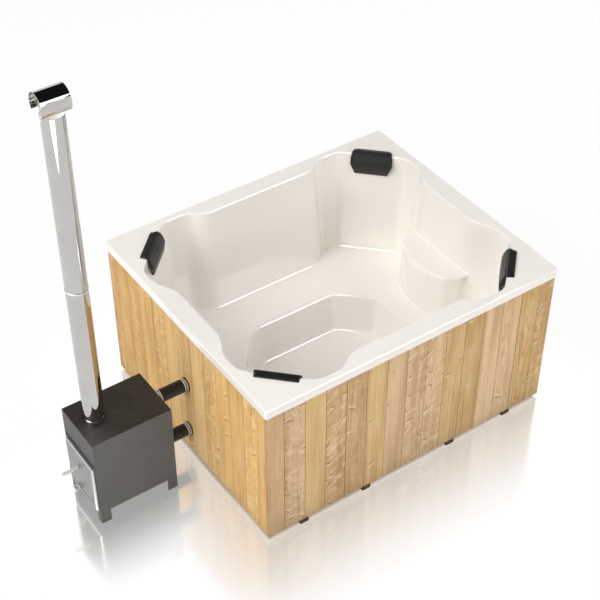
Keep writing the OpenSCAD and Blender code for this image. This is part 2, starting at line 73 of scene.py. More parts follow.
# ===========================================================================
# Shading
# ===========================================================================
class Mat:
    """A small wrapper that writes node trees compactly."""

    def __init__(self, name):
        self.m = bpy.data.materials.new(name)
        self.m.use_nodes = True
        self.t = self.m.node_tree
        self.p = self.t.nodes["Principled BSDF"]

    def node(self, kind, ins=None, **props):
        n = self.t.nodes.new(kind)
        for k, v in props.items():
            setattr(n, k, v)
        for k, v in (ins or {}).items():
            if isinstance(v, bpy.types.NodeSocket):
                self.t.links.new(v, n.inputs[k])
            else:
                n.inputs[k].default_value = v
        return n

    def coords(self):
        return self.node("ShaderNodeTexCoord").outputs["Object"]

    def coords_z(self):
        return self.node("ShaderNodeSeparateXYZ", {"Vector": self.coords()}).outputs[2]

    def attr(self, name):
        return self.node("ShaderNodeAttribute", attribute_name=name)

    def math(self, op, a, b=0.0, c=0.0, clamp=False):
        n = self.node("ShaderNodeMath", operation=op, use_clamp=clamp)
        for i, v in enumerate((a, b, c)):
            if isinstance(v, bpy.types.NodeSocket):
                self.t.links.new(v, n.inputs[i])
            else:
                n.inputs[i].default_value = v
        return n.outputs[0]

    def mapping(self, vec, scale=(1, 1, 1), loc=(0, 0, 0), rot=(0, 0, 0)):
        return self.node("ShaderNodeMapping", {"Vector": vec, "Scale": scale, "Location": loc, "Rotation": rot}).outputs[0]

    def noise(self, vec, scale=5.0, detail=3.0, rough=0.5, distortion=0.0):
        return self.node("ShaderNodeTexNoise", {"Vector": vec, "Scale": scale, "Detail": detail,
                                                "Roughness": rough, "Distortion": distortion}).outputs["Fac"]

    def ramp(self, fac, stops, interp="LINEAR"):
        n = self.node("ShaderNodeValToRGB", {"Fac": fac})
        e = n.color_ramp.elements
        while len(e) < len(stops):
            e.new(0.5)
        n.color_ramp.interpolation = interp
        for s, (pos, col) in zip(e, stops):
            s.position = pos
            s.color = (*col, 1) if len(col) == 3 else col
        return n.outputs[0]

    def remap(self, v, a, b, c=0.0, d=1.0, smooth=False):
        n = self.node("ShaderNodeMapRange", {"Value": v, "From Min": a, "From Max": b, "To Min": c, "To Max": d})
        n.interpolation_type = "SMOOTHSTEP" if smooth else "LINEAR"
        return n.outputs[0]

    def mix(self, fac, a, b, blend="MIX"):
        n = self.node("ShaderNodeMix", data_type="RGBA", blend_type=blend, clamp_factor=True)
        for i, v in ((0, fac), (6, a), (7, b)):
            if isinstance(v, bpy.types.NodeSocket):
                self.t.links.new(v, n.inputs[i])
            elif isinstance(v, (int, float)):
                n.inputs[i].default_value = v
            else:
                n.inputs[i].default_value = (*v, 1)
        return n.outputs[2]

    def out(self, **ins):
        for k, v in ins.items():
            k = k.replace("_", " ")
            if isinstance(v, bpy.types.NodeSocket):
                self.t.links.new(v, self.p.inputs[k])
            elif isinstance(v, tuple) and len(v) == 3 and self.p.inputs[k].type == "RGBA":
                self.p.inputs[k].default_value = (*v, 1)
            else:
                self.p.inputs[k].default_value = v
        return self.m

    def bump(self, height, strength=0.3, distance=0.001, normal=None):
        ins = {"Height": height, "Strength": strength, "Distance": distance}
        if normal is not None:
            ins["Normal"] = normal
        return self.node("ShaderNodeBump", ins).outputs[0]


def acrylic_material():
    m = Mat("acrylic")
    co = m.coords()
    cloud = m.noise(co, 3.0, 2, 0.5)
    col = m.ramp(cloud, [(0.3, (0.838, 0.806, 0.762)), (0.7, (0.855, 0.826, 0.784))])
    haze = m.noise(co, 9.0, 3, 0.6)
    rough = m.remap(haze, 0.3, 0.7, 0.035, 0.060)
    wave = m.noise(co, 2.2, 1, 0.4)
    return m.out(Base_Color=col, Roughness=rough, IOR=1.49, Coat_Weight=0.4, Coat_Roughness=0.03,
                 Normal=m.bump(wave, 0.06, 0.004))


def board_material():
    """Planed softwood boards. The attribute wc holds (across, along, seed) of each board in metres, wp its own
    (tone, yellowness, pith offset, distance from its middle line) and wf its (figure, dark streaks, half width)."""
    m = Mat("board_tan")
    wc = m.attr("wc").outputs["Vector"]
    wpn = m.attr("wp")
    wp = m.node("ShaderNodeSeparateColor", {"Color": wpn.outputs["Color"]})
    tone, hue, pith = wp.outputs[0], wp.outputs[1], wp.outputs[2]
    wf = m.node("ShaderNodeSeparateXYZ", {"Vector": m.attr("wf").outputs["Vector"]})
    fig, dark, half = wf.outputs[0], wf.outputs[1], wf.outputs[2]
    s = m.node("ShaderNodeSeparateXYZ", {"Vector": wc})
    u, v, seed = s.outputs[0], s.outputs[1], s.outputs[2]

    def stretched(su, sv, skew=0.0):
        y = m.math("MULTIPLY", v, sv)
        if skew:
            y = m.math("MULTIPLY_ADD", u, skew, y)
        return m.node("ShaderNodeCombineXYZ", {"X": m.math("MULTIPLY", u, su), "Y": y, "Z": seed}).outputs[0]

    # slow wander of the grain along the board
    wob = m.noise(stretched(6.0, 3.0), 1.0, 2, 0.5)
    wob2 = m.noise(stretched(24.0, 8.5), 1.0, 3, 0.55)
    # distance from the pith: a tapering log cut by a flat plane gives arches and straight grain
    u0 = m.math("MULTIPLY_ADD", pith, 0.30, -0.15)
    du = m.math("ADD", m.math("SUBTRACT", u, u0), m.math("MULTIPLY_ADD", wob, 0.05, -0.025))
    depth = m.math("MULTIPLY_ADD", wob2, 0.020, 0.010)
    dd = m.math("ADD", depth, m.math("MULTIPLY", m.math("SUBTRACT", v, 0.1), 0.060))
    rad = m.math("SQRT", m.math("ADD", m.math("MULTIPLY", du, du), m.math("MULTIPLY", dd, dd)))
    rad = m.math("ADD", rad, m.math("MULTIPLY", m.math("SUBTRACT", wob2, 0.5), m.math("MULTIPLY_ADD", fig, 0.022, 0.004)))
    # knots and pins push the rings aside
    kv = stretched(8.0, 9.0, 3.0)
    kn = m.node("ShaderNodeTexVoronoi", {"Vector": kv, "Scale": 1.0, "Randomness": 0.75}, feature="F1")
    kd = kn.outputs["Distance"]
    kc = m.node("ShaderNodeSeparateColor", {"Color": kn.outputs["Color"]})
    has = m.math("GREATER_THAN", m.math("MULTIPLY_ADD", fig, 0.62, kc.outputs[0]), 0.97)
    off = m.node("ShaderNodeSeparateXYZ", {"Vector": m.node("ShaderNodeVectorMath", {0: kv, 1: kn.outputs["Position"]}, operation="SUBTRACT").outputs[0]})
    turn = m.remap(kc.outputs[1], 0.0, 1.0, -0.9, 0.9)
    la = m.math("ADD", off.outputs[0], m.math("MULTIPLY", off.outputs[1], turn))
    lb = m.math("SUBTRACT", off.outputs[1], m.math("MULTIPLY", off.outputs[0], turn))
    lb = m.math("ADD", lb, m.math("MULTIPLY", m.math("MULTIPLY", la, la), 1.1))
    long_ = m.remap(m.math("ABSOLUTE", la), 0.04, 0.30, 1.0, 0.0, True)
    cres = m.math("MULTIPLY", m.math("MULTIPLY", m.remap(m.math("ABSOLUTE", lb), 0.015, 0.085, 1.0, 0.0, True), long_), has)
    glow = m.math("MULTIPLY", m.math("MULTIPLY", m.remap(m.math("ABSOLUTE", m.math("SUBTRACT", lb, 0.14)), 0.02, 0.13, 1.0, 0.0, True), long_), has)
    push = m.math("MULTIPLY", m.remap(kd, 0.0, 0.5, 1.0, 0.0, True), has)
    rad = m.math("ADD", rad, m.math("MULTIPLY", push, 0.012))
    frac = m.math("FRACT", m.math("MULTIPLY", rad, 82.0))
    late = m.math("MULTIPLY", m.math("POWER", frac, 3.4), m.remap(frac, 0.93, 1.0, 1.0, 0.0))
    # fibres, streaks and clouds
    fibre = m.noise(stretched(620.0, 9.0), 1.0, 4, 0.65)
    streak = m.noise(stretched(58.0, 1.1), 1.0, 3, 0.6)
    band = m.noise(stretched(17.0, 0.7), 1.0, 2, 0.5)
    blot = m.noise(stretched(12.0, 4.5), 1.0, 3, 0.55)
    # ripple: the cross bands that curly boards show
    rip = m.noise(stretched(15.0, 21.0, 8.0), 1.0, 4, 0.62)
    rip = m.math("MULTIPLY", m.math("SUBTRACT", rip, 0.5), fig)
    pink = m.mix(tone, (0.490, 0.325, 0.172), (0.800, 0.585, 0.372))
    yellow = m.mix(tone, (0.505, 0.305, 0.105), (0.800, 0.540, 0.225))
    base = m.mix(hue, pink, yellow)
    # yellowness above 1 marks the stove-side boards, which get a golden tint as painted light
    side_painted_warmth = m.math("SUBTRACT", hue, 1.0, clamp=True)
    base = m.mix(m.remap(blot, 0.32, 0.72), base, m.mix(0.5, base, (0.86, 0.64, 0.39)))
    base = m.mix(m.remap(band, 0.44, 0.66, 0.0, 0.50, True), base, (0.45, 0.262, 0.100))
    base = m.mix(m.math("MULTIPLY", m.remap(streak, 0.50, 0.74, 0.0, 1.0, True), m.math("MULTIPLY_ADD", dark, 0.60, 0.26)), base, (0.330, 0.172, 0.062))
    base = m.mix(m.math("MULTIPLY", late, m.math("MULTIPLY_ADD", dark, 0.25, m.remap(streak, 0.3, 0.7, 0.30, 0.62))), base, (0.310, 0.155, 0.056))
    base = m.mix(m.math("MULTIPLY", m.remap(fibre, 0.42, 0.72), 0.32), base, (0.42, 0.24, 0.100))
    base = m.mix(m.remap(rip, 0.02, 0.18, 0.0, 0.46), base, (0.94, 0.745, 0.53))
    base = m.mix(m.remap(rip, -0.02, -0.18, 0.0, 0.50), base, (0.42, 0.245, 0.110))
    base = m.mix(m.math("MULTIPLY", glow, 0.42), base, (0.92, 0.74, 0.52))
    base = m.mix(m.math("MULTIPLY", cres, 0.68), base, (0.27, 0.135, 0.054))
    pin = m.math("MULTIPLY", m.remap(kd, 0.035, 0.075, 1.0, 0.0, True), m.math("GREATER_THAN", kc.outputs[2], 0.62))
    base = m.mix(m.math("MULTIPLY", pin, 0.75), base, (0.20, 0.095, 0.038))
    # the long edges are darker, where dirt gathers in the joints; the foot of every board is painted darker, fading out
    # 0.16 m up, as painted contact shade
    edge = m.math("SUBTRACT", half, m.math("ABSOLUTE", wpn.outputs["Alpha"]))
    base = m.mix(m.remap(edge, 0.0003, 0.0026, m.math("MULTIPLY_ADD", dark, 0.5, 0.22), 0.0, True), base, (0.15, 0.075, 0.030))
    # painted contact shade at the foot of every board
    base = m.mix(m.remap(m.coords_z(), 0.05, 0.16, 0.22, 0.0, True), base, (0.33, 0.20, 0.10))
    # stove-side boards: golden tint, painted light of the key lamp on that face
    base = m.mix(side_painted_warmth, base, m.mix(1.0, base, (1.0, 0.915, 0.735), "MULTIPLY"))
    hgt = m.math("ADD", m.math("MULTIPLY", fibre, 0.5), m.math("MULTIPLY", late, -0.35))
    rough = m.remap(fibre, 0.2, 0.8, 0.50, 0.64)
    return m.out(Base_Color=base, Roughness=rough, Specular_IOR_Level=0.20, Normal=m.bump(hgt, 0.28, 0.0006))


def timber_material(name, dark, light, rough=0.7):
    """Sawn structural timber, grain along the longest side through stretched noise on all three axes."""
    m = Mat(name)
    wc = m.attr("wc").outputs["Vector"]
    fine = m.noise(m.mapping(wc, (260, 7, 1)), 1.0, 4, 0.65)
    band = m.noise(m.mapping(wc, (45, 1.6, 1)), 1.0, 3, 0.6)
    blot = m.noise(m.mapping(wc, (9, 3, 1)), 1.0, 2, 0.5)
    col = m.mix(m.remap(band, 0.3, 0.7), dark, light)
    col = m.mix(m.math("MULTIPLY", m.remap(fine, 0.5, 0.75), 0.45), col, tuple(0.55 * c for c in dark))
    col = m.mix(m.math("MULTIPLY", m.remap(blot, 0.5, 0.8), 0.25), col, tuple(0.7 * c for c in dark))
    return m.out(Base_Color=col, Roughness=m.remap(fine, 0.2, 0.8, rough - 0.08, rough + 0.08), Specular_IOR_Level=0.3,
                 Normal=m.bump(fine, 0.5, 0.0008))


def pad_material():
    m = Mat("pad_black")
    co = m.coords()
    leather = m.node("ShaderNodeTexVoronoi", {"Vector": co, "Scale": 620.0}, feature="DISTANCE_TO_EDGE").outputs["Distance"]
    grain = m.noise(co, 900.0, 3, 0.6)
    big = m.noise(co, 30.0, 2, 0.5)
    col = m.ramp(big, [(0.3, (0.0105, 0.0097, 0.0092)), (0.7, (0.0126, 0.0116, 0.0108))])
    rough = m.remap(grain, 0.3, 0.7, 0.34, 0.46)
    n1 = m.bump(m.math("MINIMUM", leather, 0.12), 0.30, 0.0006)
    return m.out(Base_Color=col, Roughness=rough, Specular_IOR_Level=0.42, Normal=m.bump(grain, 0.12, 0.0003, n1))


def plastic_material(name, a, b, rough=0.35, texture=0.10):
    m = Mat(name)
    co = m.coords()
    big = m.noise(co, 24.0, 2, 0.5)
    fine = m.noise(co, 700.0, 3, 0.6)
    return m.out(Base_Color=m.ramp(big, [(0.3, a), (0.7, b)]), Roughness=m.remap(fine, 0.3, 0.7, rough - 0.06, rough + 0.08),
                 Normal=m.bump(fine, texture, 0.0004))


def metal_material(name, col, rough, brushed=None, spread=0.03, metallic=1.0):
    """brushed is the scale of the brush marks on each axis, or None for a polished face."""
    m = Mat(name)
    co = m.coords()
    big = m.noise(co, 5.0, 3, 0.5)
    c = m.ramp(big, [(0.3, tuple(0.94 * x for x in col)), (0.7, tuple(min(1.0, 1.03 * x) for x in col))])
    if brushed:
        marks = m.noise(m.mapping(co, brushed), 1.0, 3, 0.6)
        return m.out(Base_Color=c, Metallic=metallic, Roughness=m.remap(marks, 0.2, 0.8, rough - spread, rough + spread),
                     Normal=m.bump(marks, 0.10, 0.0002))
    haze = m.noise(co, 14.0, 4, 0.6)
    wave = m.noise(m.mapping(co, (4.0, 4.0, 1.5)), 1.0, 2, 0.5)
    return m.out(Base_Color=c, Metallic=1.0, Roughness=m.remap(haze, 0.3, 0.7, rough, rough + spread),
                 Normal=m.bump(wave, 0.05, 0.003))


def mirror_material():
    """Polished steel. The inside of the flue's mouth and the bead at the joint are satin, so they don't mirror."""
    m = Mat("mirror_steel")
    co = m.coords()
    big = m.noise(co, 5.0, 3, 0.5)
    haze = m.noise(co, 14.0, 4, 0.6)
    wave = m.noise(m.mapping(co, (4.0, 4.0, 1.5)), 1.0, 2, 0.5)
    p = m.node("ShaderNodeSeparateXYZ", {"Vector": co})
    dx, dy = m.math("SUBTRACT", p.outputs[0], FLUE[0]), m.math("SUBTRACT", p.outputs[1], FLUE[1])
    r = m.math("SQRT", m.math("ADD", m.math("MULTIPLY", dx, dx), m.math("MULTIPLY", dy, dy)))
    inner = m.math("MULTIPLY", m.math("LESS_THAN", r, FLUE_R - .0011), m.math("LESS_THAN", p.outputs[2], FLUE_TOP + .003))
    c = m.ramp(big, [(0.3, (0.505, 0.498, 0.480)), (0.7, (0.555, 0.548, 0.530))])
    c = m.mix(inner, c, (0.90, 0.89, 0.87))
    bead = m.math("LESS_THAN", m.math("ABSOLUTE", m.math("SUBTRACT", p.outputs[2], FLUE_JOINT - .006)), 0.0046)
    c = m.mix(bead, c, (0.96, 0.955, 0.94))
    inner_or_bead = m.math("MAXIMUM", m.math("MULTIPLY", inner, 0.5), m.math("MULTIPLY", bead, 0.42))
    return m.out(Base_Color=c, Metallic=m.remap(inner, 0.0, 1.0, 1.0, 0.05), Roughness=m.math("MAXIMUM", inner_or_bead, m.remap(haze, 0.3, 0.7, 0.012, 0.032)),
                 Normal=m.bump(wave, 0.05, 0.003))


def stove_material(name, side, door_side_painted_shade, top, lit):
    """Heat-proof paint, brownish on the top plate. The door side (the -X face) is painted darker than the other sides
    as painted shade, and the top is painted lighter towards its front-left corner as a painted highlight.
    """
    m = Mat(name)
    co = m.coords()
    n = m.node("ShaderNodeSeparateXYZ", {"Vector": m.node("ShaderNodeNewGeometry").outputs["True Normal"]})
    p = m.node("ShaderNodeSeparateXYZ", {"Vector": co})
    big = m.noise(co, 6.0, 3, 0.5)
    fine = m.noise(co, 900.0, 2, 0.6)
    drag = m.noise(m.mapping(co, (26, 26, 3)), 1.0, 3, 0.6)

    def spread(c, k):
        return m.ramp(big, [(0.3, tuple((1 - k) * x for x in c)), (0.7, tuple((1 + k) * x for x in c))])

    # the door side (normals facing -X) takes a darker colour: painted shade
    a = m.mix(m.remap(n.outputs[0], -0.55, -0.9), spread(side, 0.07), spread(door_side_painted_shade, 0.07))
    # the top is painted lighter towards its front-left corner (painted highlight) and darker away from it
    dx = m.math("SUBTRACT", p.outputs[0], SX0)
    dy = m.math("SUBTRACT", p.outputs[1], SY0)
    far = m.math("SQRT", m.math("ADD", m.math("MULTIPLY", dx, dx), m.math("MULTIPLY", dy, dy)))
    far = m.math("ADD", far, m.math("MULTIPLY_ADD", big, 0.12, -0.06))
    b = m.mix(m.remap(far, 0.0, 0.24, 0.0, 1.0, True), lit, spread(top, 0.16))
    col = m.mix(m.remap(n.outputs[2], 0.55, 0.9), a, b)
    col = m.mix(m.remap(drag, 0.55, 0.8, 0.0, 0.18), col, tuple(1.25 * x for x in side))
    return m.out(Base_Color=col, Roughness=m.remap(fine, 0.3, 0.7, 0.42, 0.54), Specular_IOR_Level=0.35,
                 Normal=m.bump(fine, 0.22, 0.0004))


def iron_material():
    m = Mat("cast_iron")
    co = m.coords()
    big = m.noise(co, 11.0, 4, 0.6)
    fine = m.noise(co, 480.0, 4, 0.65)
    rust = m.remap(m.noise(co, 26.0, 5, 0.65), 0.55, 0.75, 0.0, 0.35, True)
    col = m.mix(rust, m.ramp(big, [(0.3, (0.020, 0.019, 0.019)), (0.7, (0.045, 0.042, 0.040))]), (0.13, 0.055, 0.026))
    return m.out(Base_Color=col, Roughness=m.remap(fine, 0.3, 0.7, 0.6, 0.85), Metallic=0.0, Normal=m.bump(fine, 0.6, 0.0009))


def door_material():
    m = Mat("door_metal")
    co = m.coords()
    big = m.noise(co, 9.0, 4, 0.6)
    fine = m.noise(co, 650.0, 3, 0.6)
    heat = m.noise(m.mapping(co, (7, 7, 11)), 1.0, 3, 0.55)
    col = m.ramp(big, [(0.25, (0.205, 0.208, 0.208)), (0.75, (0.285, 0.288, 0.285))])
    col = m.mix(m.remap(heat, 0.55, 0.8, 0.0, 0.35), col, (0.19, 0.178, 0.163))
    nx = m.node("ShaderNodeSeparateXYZ", {"Vector": m.node("ShaderNodeNewGeometry").outputs["True Normal"]}).outputs[0]
    # the door's edge and side faces are painted lighter than its front: partly edge wear, partly a painted highlight
    wear_and_painted_highlight = m.remap(m.math("ABSOLUTE", nx), 0.90, 0.97, 1.0, 0.0)
    col = m.mix(m.math("MULTIPLY", wear_and_painted_highlight, 0.85), col, (0.60, 0.615, 0.625))
    return m.out(Base_Color=col, Metallic=0.75, Roughness=m.remap(fine, 0.3, 0.7, 0.30, 0.42), Normal=m.bump(fine, 0.18, 0.0003))


def rope_material():
    m = Mat("seal_rope")
    co = m.coords()
    weave = m.node("ShaderNodeTexWave", {"Vector": m.mapping(co, (1, 1, 1), rot=(0.6, 0.5, 0.7)), "Scale": 330.0, "Distortion": 1.5, "Detail": 2.0}).outputs["Fac"]
    fuzz = m.noise(co, 900.0, 3, 0.7)
    col = m.mix(m.remap(weave, 0.2, 0.9), (0.26, 0.245, 0.225), (0.46, 0.45, 0.43))
    return m.out(Base_Color=col, Roughness=m.remap(fuzz, 0.3, 0.7, 0.88, 0.97), Normal=m.bump(m.math("ADD", weave, fuzz), 0.7, 0.0009))


MATS = {
    "acrylic": acrylic_material(),
    "board_tan": board_material(),
    "frame_timber": timber_material("frame_timber", (0.42, 0.29, 0.16), (0.60, 0.45, 0.28)),
    "bearer_timber": timber_material("bearer_timber", (0.085, 0.050, 0.026), (0.16, 0.098, 0.052)),
    "pad_black": pad_material(),
    "white_plastic": plastic_material("white_plastic", (0.74, 0.74, 0.73), (0.80, 0.80, 0.79), 0.28),
    "grey_plastic": plastic_material("grey_plastic", (0.26, 0.265, 0.27), (0.33, 0.335, 0.34), 0.42),
    "black_rubber": plastic_material("black_rubber", (0.0042, 0.0035, 0.0028), (0.0078, 0.0065, 0.0052), 0.36, 0.25),
    "steel": metal_material("steel", (0.84, 0.825, 0.78), 0.34, (160, 160, 160), 0.06, 0.42),
    "mirror_steel": mirror_material(),
    # stove_paint colours: sides, door side painted darker as painted shade, top, top's painted highlight near its
    # front-left corner
    "stove_paint": stove_material("stove_paint", (0.108, 0.107, 0.105), (0.064, 0.063, 0.062), (0.030, 0.025, 0.021), (0.060, 0.052, 0.046)),
    "cast_iron": iron_material(),
    "door_metal": door_material(),
    "seal_rope": rope_material(),
}

# the slot that each node takes from the record
SLOT = {s["node"]: s["material_slot"] for s in frame["record"]["subparts"]}


# ===========================================================================
# Mesh helpers
# ===========================================================================
def new_object(name, mesh, mat, body, nodes=()):
    o = bpy.data.objects.new(name, mesh)
    scene.collection.objects.link(o)
    mesh.materials.clear()
    mesh.materials.append(MATS[mat])
    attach(o, body)
    if nodes:
        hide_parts(*nodes)
    return o


def settle(o, angle=38.0, weighted=True):
    """Smooth shading with sharp edges kept, written into the mesh."""
    me = o.data
    me.polygons.foreach_set("use_smooth", [True] * len(me.polygons))
    me.set_sharp_from_angle(angle=math.radians(angle))
    if weighted:
        w = o.modifiers.new("wn", "WEIGHTED_NORMAL")
        w.keep_sharp = True
        w.weight = 50
        dg = bpy.context.evaluated_depsgraph_get()
        new = bpy.data.meshes.new_from_object(o.evaluated_get(dg))
        o.modifiers.clear()
        o.data = new
        bpy.data.meshes.remove(me)
    return o


def clean_copy(node, angle=0.6):
    """The CAD node's mesh with its triangles joined back into flat faces."""
    bm = bmesh.new()
    bm.from_mesh(NODES[node].data)
    bmesh.ops.remove_doubles(bm, verts=bm.verts, dist=2e-6)
    bmesh.ops.dissolve_limit(bm, angle_limit=math.radians(angle), verts=bm.verts, edges=bm.edges)
    return bm


def islands(bm):
    seen, out = set(), []
    for f in bm.faces:
        if f in seen:
            continue
        stack, group = [f], []
        seen.add(f)
        while stack:
            g = stack.pop()
            group.append(g)
            for e in g.edges:
                for h in e.link_faces:
                    if h not in seen:
                        seen.add(h)
                        stack.append(h)
        out.append(group)
    return out


# front boards from the stove end, as (tone, yellowness, figure, dark streaks, pith)
FRONT = [(.35, .35, .00, .25, .95), (.55, .08, .80, .15, .30), (.72, .85, .10, .10, .10), (.30, .50, .85, .25, .55), (.10, .45, .40, .60, .50),
         (.78, .90, .05, .10, .95), (.66, .05, .05, .15, .05), (.60, .10, .80, .10, .60), (.70, .08, .75, .10, .35), (.55, .80, .10, .30, .90),
         (.22, .85, .10, .50, .15), (.98, .15, .00, .05, .95), (.66, .15, .30, .20, .40), (.38, .98, .05, 1.0, .50), (.42, .90, .75, .40, .65)]
# stove-side boards from the front end
SIDE = [(.62, .95, .15, .45, .90), (.88, .80, .62, .20, .35), (.50, .80, .10, .55, .10), (.95, .85, .35, .15, .85), (.78, .55, .80, .30, .50),
        (.98, .10, .10, .25, .05), (.88, .45, .30, .40, .70), (.92, .70, .10, .15, .95), (.62, .85, .75, .35, .30), (.72, 1.0, .30, .30, .80),
        (.44, .90, .55, .30, .50), (.22, .95, .10, .45, .10), (.34, .95, .60, .30, .60)]


def grain_layer(bm, rng, axis=None, traits=None):
    """Writes wc, wp and wf on every vertex: each solid's own coordinates across and along its grain, and its character.
    traits is (list, axis that orders the boards) for boards with a set character."""
    wc = bm.verts.layers.float_vector.get("wc") or bm.verts.layers.float_vector.new("wc")
    wp = bm.verts.layers.float_color.get("wp") or bm.verts.layers.float_color.new("wp")
    wf = bm.verts.layers.float_vector.get("wf") or bm.verts.layers.float_vector.new("wf")
    for group in islands(bm):
        vs = {v for f in group for v in f.verts}
        co = np.array([v.co[:] for v in vs])
        lo, hi = co.min(0), co.max(0)
        size = hi - lo
        along = int(np.argmax(size)) if axis is None else axis
        rest = [i for i in range(3) if i != along]
        wide = rest[0] if size[rest[0]] >= size[rest[1]] else rest[1]
        thin = rest[1] if wide == rest[0] else rest[0]
        seed = float(rng.uniform(0, 400))
        flip = 1 if rng.uniform() < 0.5 else -1
        tone, hue, pith = rng.uniform(0.2, 0.8), rng.uniform(0, 1), rng.uniform(0, 1)
        fig = 1.0 if rng.uniform() < 0.36 else rng.uniform(0.0, 0.35)
        dark = rng.uniform(0.1, 0.6)
        mid = (lo + hi) / 2
        if traits:
            rows, by, first, pitch = traits
            k = int(round((mid[by] - first) / pitch))
            tone, hue, fig, dark, pith = rows[max(0, min(len(rows) - 1, k))]
            # stove-side boards are painted more golden and lighter in tone, as painted light on that side
            hue += 1.0 * (rows is SIDE)
            tone += .16 * (rows is SIDE)
        half = size[wide] / 2
        for v in vs:
            # the thin direction goes on with the wide one, so that edges show the same grain running round
            a = v.co[wide] - mid[wide]
            v[wc] = (a + 0.9 * (v.co[thin] - mid[thin]), flip * (v.co[along] - mid[along]) + 0.5, seed)
            v[wp] = (tone, hue, pith, a)
            v[wf] = (fig, dark, half)


def bevelled(node, name=None, width=0.0015, segments=2, mat=None, angle=30.0, grain=None, body=None, limit=None, smooth=38.0, traits=None):
    """The CAD node again, with its edges rounded."""
    bm = clean_copy(node)
    edges = [e for e in bm.edges if len(e.link_faces) == 2 and e.calc_face_angle(0) > math.radians(angle)]
    if limit:
        edges = [e for e in edges if limit(e)]
    if grain is not None:
        grain_layer(bm, grain, None, traits)
    if width > 0:
        bmesh.ops.bevel(bm, geom=edges, offset=width, offset_type="OFFSET", segments=segments, profile=0.5,
                        affect="EDGES", clamp_overlap=True, material=-1)
    me = bpy.data.meshes.new(name or node + "_finished")
    bm.to_mesh(me)
    bm.free()
    o = new_object(name or node + "_finished", me, mat or SLOT[node], body or NODES[node]["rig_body"], (node,))
    return settle(o, smooth)


def grid_mesh(name, rings, close_u=True, close_v=False, caps=False):
    """A mesh from rings of points, each ring of the same length."""
    rings = np.asarray(rings, float)
    nr, n = rings.shape[:2]
    verts = rings.reshape(-1, 3)
    faces = []
    for i in range(nr if close_v else nr - 1):
        j = (i + 1) % nr
        for k in range(n if close_u else n - 1):
            l = (k + 1) % n
            faces.append((i * n + k, i * n + l, j * n + l, j * n + k))
    if caps:
        faces.append(tuple(reversed(range(n))))
        faces.append(tuple((nr - 1) * n + k for k in range(n)))
    me = bpy.data.meshes.new(name)
    me.from_pydata([tuple(v) for v in verts], [], faces)
    me.validate()
    bm = bmesh.new()
    bm.from_mesh(me)
    bmesh.ops.recalc_face_normals(bm, faces=bm.faces)
    bm.to_mesh(me)
    bm.free()
    return me


def lathe(name, profile, centre, n=96, axis="Z", closed=False):
    """profile is a list of (radius, height along the axis)."""
    rings = []
    for r, h in profile:
        ring = []
        for k in range(n):
            a = 2 * math.pi * k / n
            c, s = r * math.cos(a), r * math.sin(a)
            if axis == "Z":
                ring.append((centre[0] + c, centre[1] + s, centre[2] + h))
            else:
                ring.append((centre[0] + h, centre[1] + c, centre[2] + s))
        rings.append(ring)
    return grid_mesh(name, rings, True, closed)


# ===========================================================================
# The moulded shell
# ===========================================================================
QUARTER = [(HX - .121, .232), (HX - .052, .352), (HX - .052, HY - .353), (HX - .360, HY - .045), (.47, HY - .045), (.392, HY - .118)]
QR = [.200, .200, .110, .110, .125, .125]
BASIN = QUARTER + [(-x, y) for x, y in QUARTER[::-1]] + [(-x, -y) for x, y in QUARTER] + [(x, -y) for x, y in QUARTER[::-1]]
BASIN_R = QR + QR[::-1] + QR + QR[::-1]
FOOT = [(.520, -.165), (.520, .165), (.300, .367), (-.290, .367), (-.500, .175), (-.500, -.175), (-.290, -.367), (.300, -.367)]
FOOT_R = [.090, .090, .090, .120, .160, .160, .120, .090]
STEPO = [(HX - .060, -.262), (HX - .060, .262), (HX - .200, .262), (HX - .288, .200), (HX - .332, .090), (HX - .332, -.090), (HX - .288, -.200), (HX - .200, -.262)]
STEP_R = [.014, .014, .060, .090, .090, .090, .090, .060]
OUTER = [(HX, -HY), (HX, HY), (-HX, HY), (-HX, -HY)]
OUTER_R = [.014] * 4
TA, TG, TB = .062 / .711, .070 / .240, .010 / .330
CA, CG, CB = (1 / math.sqrt(1 + t * t) for t in (TA, TG, TB))
R_RIM, R_COVE, R_LIP, R_FOOT, R_TOP, R_SCOVE, R_OUT = .007, .014, .009, .014, .012, .008, .006


def primitives(P, R):
    """The rounded outline as lines and arcs."""
    P = [np.array(p, float) for p in P]
    n, arcs, ends = len(P), [], []
    for i in range(n):
        a = P[i] - P[i - 1]
        b = P[(i + 1) % n] - P[i]
        a, b = a / np.linalg.norm(a), b / np.linalg.norm(b)
        s = 1 if a[0] * b[1] - a[1] * b[0] > 0 else -1
        th = math.acos(max(-1, min(1, float(a @ b))))
        p0 = P[i] - a * R[i] * math.tan(th / 2)
        c = p0 + s * R[i] * np.array([-a[1], a[0]])
        a0 = math.atan2(p0[1] - c[1], p0[0] - c[0])
        arcs.append((c, R[i], s, a0, th))
        ends.append((p0, P[i] + b * R[i] * math.tan(th / 2)))
    out = []
    for i in range(n):
        out.append(("arc",) + arcs[i])
        out.append(("line", ends[i][1], ends[(i + 1) % n][0]))
    return out


PB, PF, PS, PO = primitives(BASIN, BASIN_R), primitives(FOOT, FOOT_R), primitives(STEPO, STEP_R), primitives(OUTER, OUTER_R)


